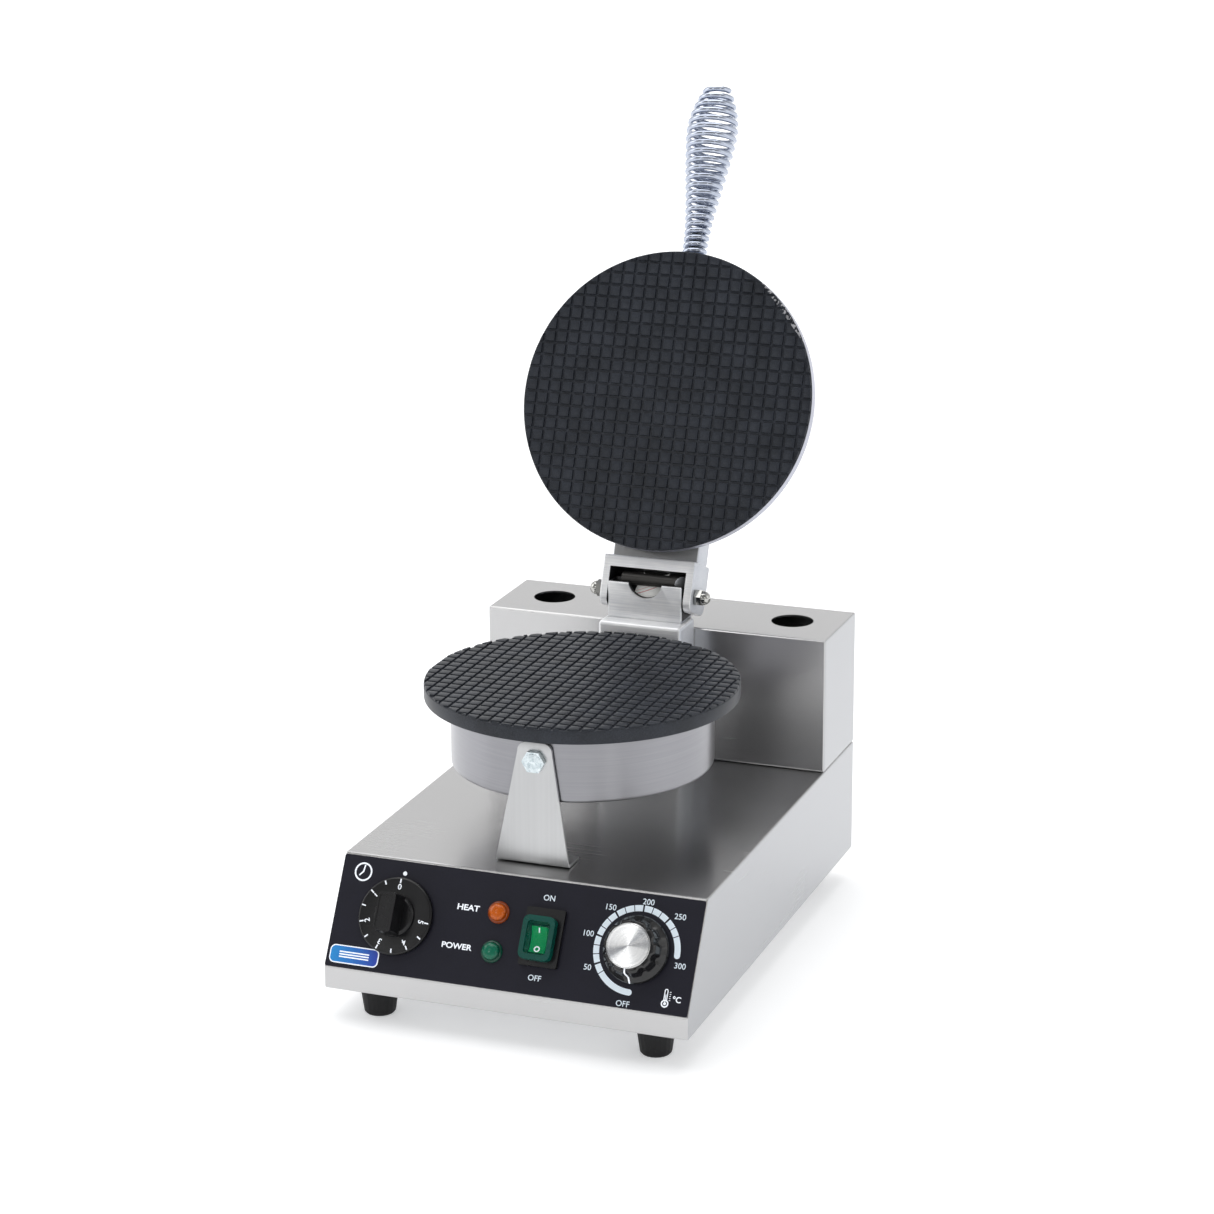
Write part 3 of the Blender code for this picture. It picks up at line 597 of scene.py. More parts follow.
def gridded_plate(offset_x, offset_y):
    """A disc with its baking face at z = 0, covered in raised squares that stop at the rim."""
    disc = lathe(fillet([(0, -PLATE_T), (PLATE_R, -PLATE_T), (PLATE_R, -GROOVE), (0, -GROOVE)],
                        [0, 0.8, 0.5, 0], 3), 180)
    pads = bmesh.new()
    count = int(PLATE_R / PITCH) + 2
    for i in range(-count, count + 1):
        for j in range(-count, count + 1):
            cx, cy = offset_x + i * PITCH, offset_y + j * PITCH
            h = PAD / 2
            square = [(cx - h, cy - h), (cx + h, cy - h), (cx + h, cy + h), (cx - h, cy + h)]
            top = clip(square, PLATE_R - 0.6)
            if len(top) < 3 or area(top) < 0.8:
                continue
            mx = sum(p[0] for p in top) / len(top)
            my = sum(p[1] for p in top) / len(top)
            clean = []
            for p in top:
                if not clean or math.dist(p, clean[-1]) > 0.05:
                    clean.append(p)
            if math.dist(clean[0], clean[-1]) < 0.05:
                clean.pop()
            if len(clean) < 3:
                continue
            levels, limit = [], PLATE_R - 0.25
            for grow, z in ((0.28, -GROOVE - 0.05), (0.12, -0.28), (0.0, -0.06), (-0.16, 0.0)):
                ring = []
                for x, y in clean:
                    d = math.hypot(x - mx, y - my) or 1.0
                    s = 1 + grow / d * 1.3
                    px, py = mx + (x - mx) * s, my + (y - my) * s
                    reach = math.hypot(px, py)
                    if reach > limit:
                        px, py = px * limit / reach, py * limit / reach
                    ring.append(pads.verts.new((px, py, z)))
                levels.append(ring)
            skin(pads, levels)
    return join(disc, pads)


piece("lower_baking_plate", gridded_plate(-3.3, 0.0), LOWER, coating, BASE, ["lower_plate"])
piece("upper_baking_plate", gridded_plate(-3.0, 3.7), UPPER, worn_coating, LID_BODY, ["upper_plate"])
band = lathe([(PLATE_R - 0.4, -1.9), (PLATE_R + 0.06, -2.2), (PLATE_R + 0.06, -PLATE_T + 0.9),
              (PLATE_R - 0.4, -PLATE_T + 0.7), (PLATE_R - 0.4, -1.9)], 180)
piece("upper_plate_turned_edge", band, UPPER, bare_edge, LID_BODY)


# ---- the drums
def drum(holes):
    """A spun pot, open towards its plate; z = 0 is its rim."""
    outer = fillet([(0, -DRUM_H), (DRUM_R, -DRUM_H), (DRUM_R, 0)], [0, 2.6, 0], 5)
    inner = fillet([(DRUM_R - 1.2, 0), (DRUM_R - 1.2, -DRUM_H + 1.2), (0, -DRUM_H + 1.2)], [0, 1.4, 0], 4)
    return carve(lathe(outer + inner, 180), *holes)


drum_top = PLATE_TOP - PLATE_T - DRUM_GAP
bolt_hole = turn(rod(4.3, 70, 95, 32), shift(BOLT_X, 0, BOLT_Z - drum_top) @ tilt(90))
lead_hole = turn(rod(RISER_R, 70, 95, 32), shift(0, 0, ARM_Z - drum_top) @ tilt(-90))
piece("lower_drum_pot", drum([bolt_hole, lead_hole]), MACHINE @ shift(0, PLATE_Y, drum_top), drum_steel_shaded,
      BASE, ["lower_drum"])
# in the upper drum's own axes +Y points from the hinge to the handle
stud_hole = turn(rod(4.3, 70, 95, 32), shift(0, 0, PLATE_T - FACE) @ tilt(-90))
lead_hole = turn(oval_rod(LEAD_R, 70, 95, 0, 32), shift(0, 0, DRUM_GAP + PLATE_T - FACE - 9) @ tilt(90))
piece("upper_drum_pot", drum([stud_hole, lead_hole]), UPPER @ shift(0, 0, -PLATE_T - DRUM_GAP), drum_steel_shaded,
      LID_BODY, ["upper_drum"])


# ---- hinge castings
CHANNEL_Y, RISER_Y = 266.8, 252.0      # the two leads' channels
BOX_FRONT, BOX_TOP = 274.9, 189.8
BAR_Y, BAR_Z = 264.8, 222.9
EAR_R = 7.0

# painted shade: near black inside the bearing block and inside the yoke, and darker on the yoke's neck under
# the plate
pedestal_metal = machined_look("ground_pedestal", ((-27, 257.8, 198.2), (27, 277, 223), 0.97))
yoke_metal = machined_look("ground_yoke", ((-26.9, -9.2, -12), (26.9, 17.2, 14.9), 0.97),
                           ((-29.2, 0, 22.6), (29.2, 1.2, 60), 0.62))
pedestal = soften(block((-29, 245, DECK + 0.3), (29, BOX_FRONT - 0.4, 197.5)), 2.6, 5)
bearing = soften(block((-26.2, 256.8, 192), (25.6, 278, 222)), 0.9, 3)
arm = soften(block((-22, 214, 148), (22, 250, 176)), 1.5, 3)
pedestal = carve(pedestal, bearing, arm, add=True)
pedestal = carve(pedestal, block((-40, BOX_FRONT - 0.4, 150), (40, 290, BOX_TOP + 0.6)),
                 turn(rod(DRUM_R + 0.4, 130, 191, 144), shift(0, PLATE_Y, 0)),
                 block((-17, 260.6, 196), (17, 275, 230)),
                 oval_rod(LEAD_R, DECK - 6, 200, CHANNEL_Y),
                 turn(rod(12, -8, 8, 64), shift(0, 258, 224.2) @ tilt(90)),
                 block((-12, 272, 209), (12, 284, 230)),
                 cross_rod(4.6, -24.4, 30, BAR_Y, BAR_Z), cross_rod(PIN_R, -35, 35, AXIS_Y, AXIS_Z),
                 block((-26.8, 256.2, 197.1), (26.4, 257.5, 198.1)),
                 block((25.0, 256.2, 197.1), (26.4, 274, 198.1)),
                 turn(rod(RISER_R, DECK - 6, 167, 24), shift(0, RISER_Y, 0)),
                 turn(rod(RISER_R, -RISER_Y - 5, -205, 24), shift(0, 0, ARM_Z) @ tilt(90)),
                 *[turn(rod(3.3, DECK - 5, DECK + 16, 24), shift(side * 21, 253, 0)) for side in (-1, 1)])
piece("pedestal_casting", pedestal, MACHINE, pedestal_metal, BASE, ["hinge_pedestal"], 30)

side = [(22, 22.5), (-10, 22.5)]
for start, cy in ((180, -10 + EAR_R), (270, 22 - EAR_R)):
    for k in range(9):
        a = radians(start + 90 * k / 8)
        side.append((cy + EAR_R * cos(a), -11 + EAR_R + EAR_R * sin(a)))
yoke = soften(slab(side, -32, 32), 1.1, 3)
yoke = carve(yoke, soften(block((-30, 1, 18), (30, 22, 56)), 1.2, 3), add=True)
yoke = carve(yoke, block((-26.8, -14, -15), (26.8, 17, 14.7)),
             turn(rod(DRUM_R + 0.4, -60, 60, 144), shift(0, 0, REACH) @ tilt(90)),
             oval_rod(LEAD_R, 8, 62, 9), cross_rod(PIN_R, -38, -22, 0, 0), cross_rod(PIN_R, 22, 38, 0, 0))
piece("yoke_casting", yoke, LID, yoke_metal, LID_BODY, ["hinge_yoke"], 30)

for name, way in (("left", -1), ("right", 1)):
    hexagon = soften(rod(5.77, 32.6, 37.0, 6), 0.35, 2)
    dome = lathe([(0, 36.2), (4.6, 36.2), (4.75, 37.6), (4.55, 38.9), (4.0, 40.2), (3.0, 41.4),
                  (1.6, 42.15), (0, 42.4)], 48)
    nut = carve(carve(hexagon, dome, add=True), rod(PIN_R, 30, 37.8, 32))
    nut = turn(nut, tilt(way * 90, 'Y') @ tilt(12, 'Z'))
    piece("domed_nut_" + name, nut, MACHINE @ shift(0, AXIS_Y, AXIS_Z), nut_chrome, BASE,
          ["acorn_nut_" + name], 25)

# the guard bar's right end is cut off at a slant and left bare
CUT_TURN, CUT_AT = 35.0, 22.8


def guard_bar_look():
    """Dark bar with a bright cut end."""
    look = Look("guard_bar_steel", (0.050, 0.047, 0.043), 0.42, 0.7)
    x, y = look.xyz()[:2]
    a = radians(CUT_TURN)
    bare = x * cos(a) - y * sin(a) > (CUT_AT * cos(a) - 0.08) * MM
    grain = look.noise(300.0, 3.0, (0.1, 1, 1))
    look.tint(bare + grain * 0.06, (0.045, 0.042, 0.038), (0.62, 0.64, 0.67), 0.0, 1.0)
    look.bump(grain, 0.3, 0.00003)
    return look


bar_end = turn(block((0, -20, -20), (30, 20, 20)), shift(CUT_AT, 0, 0) @ tilt(-CUT_TURN, 'Z'))
guard = carve(turn(rod(4.2, -18, 26, 48), tilt(90, 'Y')), bar_end)
piece("guard_bar_rod", guard, MACHINE @ shift(0, BAR_Y, BAR_Z), guard_bar_look(), BASE,
      ["lead_guard_bar"], 40)


# ---- lid's heater lead
def sleeve_look():
    """Woven glass-fibre sleeve with thin red tracers running round it; below the guard bar it glows a little
    (painted light), above it, inside the yoke, it is painted black (painted shade).
    """
    # painted light: the sleeve glows a little so it reads bright in the shadowed notch
    painted_glow = 0.16
    look = Look("glass_fibre_braid", (0.80, 0.80, 0.78), 0.62, Emission_Color=(0.95, 0.95, 0.93))
    x, _, z = look.xyz()
    weave = look.math('SINE', (x + z) * 5200.0) * look.math('SINE', (x - z) * 5200.0) * 0.5 + 0.5
    turns = look.math('FRACT', (z - x * 0.38 - 0.2086) / 0.015)
    tracer = (abs(turns - 0.5) < 0.024) + (abs(turns - 0.63) < 0.018) * 0.6
    look.tint(weave, (0.74, 0.74, 0.72), (0.96, 0.96, 0.94), 0.0, 1.0)
    cloth = look.mix(tracer, look.ramp, (0.55, 0.12, 0.13))
    # painted shade: black above the guard bar, where the sleeve runs into the yoke's dark window
    shade_above_bar = z > 0.2236
    look.set(Base_Color=look.mix(shade_above_bar, cloth, (0.02, 0.02, 0.02)),
             Emission_Strength=look.spread(shade_above_bar, painted_glow, 0.0, 0.0, 1.0))
    look.gloss(weave, 0.5, 0.7, 0.0, 1.0)
    look.bump(weave, 0.6, 0.0001)
    return look


def lid_point(y, z):
    """A point of the open lid's own axes, as (y, z) in the machine's."""
    a = radians(-LEAN)
    return AXIS_Y + y * cos(a) - z * sin(a), AXIS_Z + y * sin(a) + z * cos(a)


# (y, z), half width, half depth
run = [((CHANNEL_Y, 62), 8.8, 5.2), ((CHANNEL_Y, 130), 8.8, 5.2), ((CHANNEL_Y, 192), 8.8, 5.2),
       ((CHANNEL_Y, 199), 9.6, 5.2), ((CHANNEL_Y + 0.4, 206), 11.0, 5.0),
       ((CHANNEL_Y + 1.4, 213.0), 11.0, 4.8), (lid_point(6, 8), 9.6, 5.0),
       (lid_point(8.6, 15), 8.8, 5.2), (lid_point(9, 34), 8.8, 5.2),
       (lid_point(9, 52), 8.8, 5.2)]
stations = []
for k in range(len(run) - 1):
    quad = [run[max(k - 1, 0)], run[k], run[k + 1], run[min(k + 2, len(run) - 1)]]
    values = [Vector((*p, w, d)) for p, w, d in quad]
    for s in range(6):
        t = s / 6
        a, b, c, d = values
        stations.append(0.5 * (2 * b + (c - a) * t + (2 * a - 5 * b + 4 * c - d) * t ** 2
                               + (3 * b - a - 3 * c + d) * t ** 3))
stations.append(Vector((*run[-1][0], *run[-1][1:])))
loops = []
for k, (y, z, wide, deep) in enumerate(stations):
    before, after = stations[max(k - 1, 0)], stations[min(k + 1, len(stations) - 1)]
    along = Vector((after[0] - before[0], after[1] - before[1])).normalized()
    loops.append([(wide * cos(t), y - along.y * deep * sin(t), z + along.x * deep * sin(t))
                  for t in [2 * pi * i / 48 for i in range(48)]])
sleeve = piece("lead_sleeve", rows(loops), MACHINE, sleeve_look(), None, ["lid_heater_lead"])
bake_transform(sleeve)

# ---- front bracket
BR_Y, BR_T, FOOT_BACK, BEND = 53.7, 2.0, 18.0, 2.6
foot_z = DECK + 0.4


def half_width(z):
    if z <= 172:
        return 24.4 - (24.4 - 11.4) * max(0.0, z - foot_z) / (171.5 - foot_z)
    return 5.4 + math.sqrt(max(0.0, 36.0 - (z - 172) ** 2))


def lean(z):
    """The bracket stands a little askew, turned towards the right."""
    return -1.1 + 2.6 * (z - foot_z) / (172 - foot_z)


pairs = [((BR_Y + FOOT_BACK, foot_z), (BR_Y + FOOT_BACK, foot_z + BR_T))]
for k in range(9):
    a = radians(270 - 90 * k / 8)
    cy, cz = BR_Y + BEND, foot_z + BEND
    pairs.append(((cy + BEND * cos(a), cz + BEND * sin(a)),
                  (cy + (BEND - BR_T) * cos(a), cz + (BEND - BR_T) * sin(a))))
for z in [120, 140, 160, 172] + [172 + 6 * sin(radians(9 * k)) for k in range(1, 11)]:
    pairs.append(((BR_Y, z), (BR_Y + BR_T, z)))
loops = []
for outer, inner in pairs:
    w, x = half_width(outer[1]), lean(outer[1])
    loops.append([(x - w, *outer), (x + w, *outer), (x + w, *inner), (x - w, *inner)])
bracket = rows(loops)
bmesh.ops.recalc_face_normals(bracket, faces=bracket.faces)
soften(bracket, 0.25, 2, 50)
bracket = carve(bracket, turn(rod(4.3, -62, -50, 32), shift(BOLT_X, 0, BOLT_Z) @ tilt(90)),
                *[turn(rod(2.2, DECK - 2, DECK + 8, 24), shift(side * 15, BR_Y + 11, 0)) for side in (-1, 1)])
piece("bracket_sheet_metal", bracket, MACHINE, bracket_steel, BASE, ["front_bracket"], 25)
head = soften(rod(7.5, 0.3, 3.9, 6), 0.35, 2, 50)
bolt = carve(head, lathe(fillet([(0, 3.2), (5.6, 3.2), (5.6, 4.05), (0, 4.05)], [0, 0, 0.2, 0], 2), 48),
             rod(3.9, -14, 2, 32), add=True)
piece("bracket_hexagon_bolt", turn(bolt, shift(BOLT_X, BR_Y, BOLT_Z) @ tilt(90)), MACHINE, bolt_zinc, BASE,
      ["bracket_bolt"], 30)

# ---- coil handle
PEAR = [(0.0, 6.6), (0.13, 6.7), (0.25, 7.7), (0.40, 10.2), (0.55, 13.0), (0.70, 15.3), (0.78, 15.7),
        (0.86, 14.2), (0.93, 11.4), (1.0, 7.6)]
TURNS, COIL_LOW, COIL_HIGH, WIRE_R = 24, 9.0, 133.5, 1.9


def pear(at):
    """Coil radius along the handle, smoothed between the listed heights."""
    for k, ((a, r0), (b, r1)) in enumerate(zip(PEAR, PEAR[1:])):
        if at <= b or k == len(PEAR) - 2:
            before = PEAR[max(k - 1, 0)]
            after = PEAR[min(k + 2, len(PEAR) - 1)]
            s = min(max((at - a) / (b - a), 0.0), 1.0)
            m0 = (r1 - before[1]) / (b - before[0]) * (b - a)
            m1 = (after[1] - r0) / (after[0] - a) * (b - a)
            return ((2 * s ** 3 - 3 * s ** 2 + 1) * r0 + (s ** 3 - 2 * s ** 2 + s) * m0
                    + (-2 * s ** 3 + 3 * s ** 2) * r1 + (s ** 3 - s ** 2) * m1)
    return PEAR[-1][1]


PER_TURN = 36
coil = []
for i in range(TURNS * PER_TURN + 1):
    s = i / (TURNS * PER_TURN)
    z = COIL_LOW + (COIL_HIGH - COIL_LOW) * (0.72 * s + 0.28 * s * s * (1.9 - 0.9 * s))
    r = pear((z - COIL_LOW) / (COIL_HIGH - COIL_LOW))
    a = 2 * pi * i / PER_TURN
    coil.append((r * cos(a), r * sin(a), z))
piece("coil_handle", tube(coil, WIRE_R, 12), HANDLE, chrome, LID_BODY, ["spring_handle"], 60)


# ---- control panel
LABEL_TOP = 0.7
label = soften(sheet(rounded_rectangle(238.8, 71.0, 1.2, 3, (0, -0.5)), 0.3, LABEL_TOP), 0.15, 2, 60)
label_holes = ((TIMER_X, 0, 4.6), (THERMO_X, 0, 4.6), (LAMP_X, HEAT_V, 5.6), (LAMP_X, POWER_V, 5.6))
label = carve(label, *[turn(rod(r, -2, 3, 32), shift(x, v, 0)) for x, v, r in label_holes],
              block((9.6, -13.6, -2), (30.8, 12.4, 3)))
piece("panel_overlay", label, PANEL, label_film, BASE, ["control_label"])

PRINT_LOW, PRINT_HIGH = LABEL_TOP - 0.02, LABEL_TOP + 0.035


def lettering(text, height, centre, bold=0.0, turned=0.0, z=(PRINT_LOW, PRINT_HIGH), width=None):
    """Flat letters with the given capital height, centred on a point."""
    curve = bpy.data.curves.new("words", 'FONT')
    curve.body = text
    curve.align_x = 'CENTER'
    curve.align_y = 'CENTER'
    curve.offset = bold
    curve.resolution_u = 4
    obj = show("words", curve)
    graph = bpy.context.evaluated_depsgraph_get()
    flat = bpy.data.meshes.new_from_object(obj.evaluated_get(graph), depsgraph=graph)
    bpy.data.objects.remove(obj)
    bm = bmesh.new()
    bm.from_mesh(flat)
    bpy.data.meshes.remove(flat)
    bmesh.ops.remove_doubles(bm, verts=bm.verts, dist=0.0001)
    bmesh.ops.dissolve_limit(bm, angle_limit=0.01, verts=bm.verts, edges=bm.edges)
    xs = [v.co.x for v in bm.verts]
    ys = [v.co.y for v in bm.verts]
    scale_y = height / (max(ys) - min(ys))
    scale_x = width / (max(xs) - min(xs)) if width else scale_y
    bmesh.ops.translate(bm, vec=(-(min(xs) + max(xs)) / 2, -(min(ys) + max(ys)) / 2, 0), verts=bm.verts)
    bmesh.ops.scale(bm, vec=(scale_x, scale_y, 1), verts=bm.verts)
    for v in bm.verts:
        v.co.z = z[0]
    grown = bmesh.ops.extrude_face_region(bm, geom=list(bm.faces))
    for v in grown["geom"]:
        if isinstance(v, bmesh.types.BMVert):
            v.co.z = z[1]
    return turn(bm, shift(*centre, 0) @ tilt(turned, 'Z'))


def arc_band(r0, r1, start, end, centre=(0, 0), round_start=False, round_end=False,
             z=(PRINT_LOW, PRINT_HIGH)):
    """A ring segment from start to end degrees, with optional round ends."""
    steps = max(3, int(abs(end - start) / 3))
    outer, inner = [], []
    for i in range(steps + 1):
        a = radians(start + (end - start) * i / steps)
        outer.append((r1 * cos(a), r1 * sin(a)))
        inner.append((r0 * cos(a), r0 * sin(a)))
    mid, half = (r0 + r1) / 2, (r1 - r0) / 2

    def cap(degrees, sign):
        a = radians(degrees)
        c = Vector((mid * cos(a), mid * sin(a)))
        out = Vector((cos(a), sin(a)))
        along = Vector((-sin(a), cos(a))) * sign
        return [tuple(c + out * half * cos(t) + along * half * sin(t))
                for t in [pi * k / 8 for k in range(1, 8)]]

    sign = 1 if end > start else -1
    points = outer + (cap(end, sign) if round_end else []) + list(reversed(inner))
    if round_start:
        points += list(reversed(cap(start, -sign)))
    return sheet([(x + centre[0], y + centre[1]) for x, y in points], *z)


def bar(x0, y0, x1, y1, width, z=(PRINT_LOW, PRINT_HIGH)):
    a, b = Vector((x0, y0)), Vector((x1, y1))
    side = (b - a).normalized()
    side = Vector((-side.y, side.x)) * width / 2
    return sheet([tuple(a - side), tuple(b - side), tuple(b + side), tuple(a + side)], *z)


def dot(x, y, radius, z=(PRINT_LOW, PRINT_HIGH)):
    return turn(rod(radius, z[0], z[1], 24), shift(x, y, 0))


def ring(x, y, r0, r1, z=(PRINT_LOW, PRINT_HIGH), sides=40):
    return turn(lathe([(r0, z[0]), (r1, z[0]), (r1, z[1]), (r0, z[1]), (r0, z[0])], sides), shift(x, y, 0))


# clock symbol and index dot of the timer, and the words
symbols = [ring(-105.2, 25.0, 4.9, 5.9), bar(-105.2, 25.2, -104.6, 29.4, 0.9),
           bar(-105.0, 25.4, -107.6, 22.6, 0.9), dot(-77.3, 27.3, 1.35)]
piece("print_timer_symbols", join(*symbols), PANEL, print_white_glow, BASE)
words = [lettering("HEAT", 3.7, (-31.5, 11.7), 0.024, width=14.6),
         lettering("POWER", 3.7, (-34.6, -12.8), 0.024, width=20.0)]
piece("print_lamp_words", join(*words), PANEL, print_white_glow, BASE)
words = [lettering("ON", 3.6, (19.7, 24.2), 0.012), lettering("OFF", 3.6, (19.2, -25.5), 0.012)]
piece("print_switch_words", join(*words), PANEL, print_grey_glow, BASE)

# thermostat scale
CX, CY = THERMO_X, -0.2
bounds_deg = [218.4, 205, 192, 180, 167, 154.5, 142, 129, 116, 103, 90, 77, 64.5, 51.5, 38, 26]
major = {205, 167, 129, 90, 51.5}
scale = [arc_band(23.9, 27.7, 269.0, 218.4 + 0.6, (CX, CY), round_start=True)]
for a, b in zip(bounds_deg, bounds_deg[1:]):
    ga = 1.25 if a in major else 0.6
    gb = 1.25 if b in major else 0.6
    scale.append(arc_band(23.9, 27.7, a - ga, b + gb, (CX, CY)))
scale.append(arc_band(23.9, 27.7, 26 - 0.6, 0, (CX, CY), round_end=True))
piece("print_heat_scale", join(*scale), PANEL, print_grey_glow, BASE)
numbers = [lettering(t, 3.6, c, 0.006) for t, c in
           (("50", (51.7, -14.3)), ("100", (48.8, 6.2)), ("150", (60.2, 23.8)), ("200", (83.3, 29.9)),
            ("250", (104.7, 23.5)), ("300", (109.7, -6.0)), ("OFF", (77.8, -33.2)))]
piece("print_heat_numbers", join(*numbers), PANEL, print_grey_glow, BASE)
thermometer = [ring(104.0, -29.6, 1.6, 2.4, sides=24), dot(104.0, -29.6, 0.9),
               bar(103.1, -27.6, 103.1, -21.8, 0.55), bar(104.9, -27.6, 104.9, -21.8, 0.55),
               arc_band(0.63, 1.18, 0, 180, (104.0, -21.8)),
               bar(104.0, -28.9, 104.0, -24.0, 0.5)]
for k in range(5):
    thermometer.append(bar(106.2, -27.4 + k * 1.25, 107.2, -27.4 + k * 1.25, 0.35))
thermometer.append(ring(109.4, -25.2, 0.35, 0.85, sides=20))
thermometer.append(lettering("C", 3.7, (112.2, -26.3), 0.02))
piece("print_thermometer", join(*thermometer), PANEL, print_white_glow, BASE)


# plain badge: a rounded rectangle with three stripes, no lettering
def badge_look():
    look = Look("badge_blue", (0.02, 0.16, 0.62), 0.3)
    along = look.xyz()[0] + look.noise(300.0) * 0.002
    look.tint(look.spread(along, 0.0, 1.0, -0.016, 0.016), (0.01, 0.30, 0.75), (0.01, 0.05, 0.45), 0.0, 1.0)
    return look


BADGE = PANEL @ shift(-100.8, -27.7, 0)
badge = soften(sheet(rounded_rectangle(33.0, 11.4, 3.4, 6), LABEL_TOP + 0.02, LABEL_TOP + 0.3), 0.15, 2, 60)
piece("badge_rim", badge, BADGE, print_white_glow, BASE)
badge = soften(sheet(rounded_rectangle(31.6, 10.0, 2.8, 6), LABEL_TOP + 0.05, LABEL_TOP + 0.42), 0.1, 2, 60)
piece("badge_face", badge, BADGE, badge_look(), BASE)
stripes = [bar(-10, v, 10, v, 0.8, (1.1, 1.16)) for v in (1.6, 0, -1.6)]
piece("badge_stripes", join(*stripes), BADGE, print_white_glow, BASE)

# ---- timer
dial = lathe(fillet([(0, 4.9), (13.4, 4.9), (23.2, 4.6), (24.3, 3.8), (24.3, 1.5), (0, 1.5)],
                    [0, 0, 0.8, 0.6, 0.2, 0], 3), 128)
hub = lathe(fillet([(0, 8.0), (11.6, 8.0), (13.2, 6.4), (13.4, 4.6), (0, 4.6)], [0, 1.0, 1.2, 0, 0], 3), 96)
grip = sheet(rounded_rectangle(12.4, 25.6, 2.2, 5), 4.0, 21.9)
for v in grip.verts:
    if v.co.z > 10:
        v.co.x *= 0.93
        v.co.y *= 0.96
soften(grip, 1.5, 4, 40, lambda e: all(v.co.z > 20 for v in e.verts))
hollow = sheet(rounded_rectangle(9.4, 20.6, 1.4, 4), 21.5, 24.0)
bore = rod(3.3, -2, 13.6, 32)
knob = carve(carve(dial, hub, grip, add=True), hollow, bore)
piece("timer_dial", knob, TIMER, black_satin, "timer", ["timer_knob"], 30)
marks = []
STEP = 264.5 / 10
for k in range(11):
    a = radians(90 + k * STEP)
    c, s = cos(a), sin(a)
    marks.append(bar(20.6 * c, 20.6 * s, 23.2 * c, 23.2 * s, 0.8, (4.5, 4.95)))
for k in range(6):
    a = radians(90 + 2 * k * STEP)
    c, s = cos(a), sin(a)
    if k == 1:
        marks.append(bar(17.2 * c, 17.2 * s, 20.0 * c, 20.0 * s, 0.7, (4.6, 4.98)))
    else:
        marks.append(lettering(str(k), 3.6, (18.2 * c, 18.2 * s), 0.012, 2 * k * STEP, (4.6, 4.98)))
piece("timer_dial_marks", join(*marks), TIMER, print_white_glow, "timer")

# ---- thermostat
FLUTES = 10


def fluted(r, z, a):
    """Hand grips scooped out of the knob's wall, fading into the skirt."""
    k = cos(FLUTES * a)
    depth = 1.5 * max(0.0, min(1.0, (z - 4.5) / 4.0)) * max(0.0, min(1.0, (r - 12.0) / 3.0))
    return r - depth * max(0.0, -k) ** 0.8


wall = fillet([(0, 17.3), (15.4, 17.3), (16.6, 15.6), (17.6, 8.0), (20.4, 4.2), (21.0, 3.0), (21.0, 1.5),
               (0, 1.5)], [0, 1.2, 1.2, 3.0, 1.2, 0.4, 0.3, 0], 5)
knob = carve(lathe(wall, 200, fluted), rod(3.3, -2, 12.6, 32))
piece("thermostat_grip", knob, THERMO, black_gloss, "thermostat", ["thermostat_knob"], 50)
cap = lathe(fillet([(0, 17.5), (13.8, 17.5), (13.8, 18.3), (13.0, 18.45), (0, 18.4)],
                   [0, 0.1, 0.25, 0.2, 0], 3), 128)
piece("thermostat_spun_cap", cap, THERMO, cap_metal, "thermostat", ["thermostat_cap"])
# pointer line, painted down the knob's wall towards OFF
track = [(14.1, 17.42), (15.4, 17.42), (16.55, 16.4), (16.95, 14.9), (17.45, 10.6), (17.9, 8.1), (18.9, 6.3),
         (20.3, 4.55), (20.9, 3.6)]
line = rows([[(-0.45, -r + 0.3, z - 0.15), (0.45, -r + 0.3, z - 0.15),
              (0.45, -r - 0.06, z + 0.03), (-0.45, -r - 0.06, z + 0.03)] for r, z in track])
piece("thermostat_pointer", line, THERMO, print_white_glow, "thermostat")


# ---- lamps
def lens_look(name, colour, dark, glow):
    """Coloured lens with a fine prismatic grid behind its surface."""
    look = Look(name, colour, 0.4, Specular_IOR_Level=0.15, Coat_Weight=0.55, Coat_Roughness=0.02,
                Emission_Strength=glow, Emission_Color=colour)
    grid = look.node("TexChecker", {"Scale": 1100.0, "Vector": look.place()})
    x, y = look.xyz()[:2]
    rim = look.spread((x ** 2.0 + y ** 2.0) ** 0.5, 1.0, 0.0, 0.0046, 0.0056)
    cells = Field(look, grid.outputs["Fac"])
    look.tint(rim * (cells * 0.45 + 0.55), dark, colour, 0.0, 1.0)
    return look


amber = lens_look("amber_lens", (0.56, 0.105, 0.0), (0.12, 0.014, 0.0), 0.16)
green = lens_look("green_lens", (0.0, 0.15, 0.082), (0.0, 0.028, 0.016), 0.11)
for name, v, look, node, slot in (("heat_lamp_lens", HEAT_V, amber, "heat_lamp", "amber_lens"),
                                  ("power_lamp_lens", POWER_V, green, "power_lamp", "green_lens")):
    dome = [(0, 6.0), (1.6, 5.93), (3.0, 5.6), (4.2, 5.0), (5.1, 4.2), (5.6, 3.3), (5.8, 2.6), (6.3, 2.3),
            (6.8, 1.9), (7.0, 1.3), (7.0, 1.0), (5.2, 1.0), (5.2, -18), (0, -18)]
    piece(name, lathe(dome, 64), PANEL @ shift(LAMP_X, v, 0), look, BASE, [node], 40)

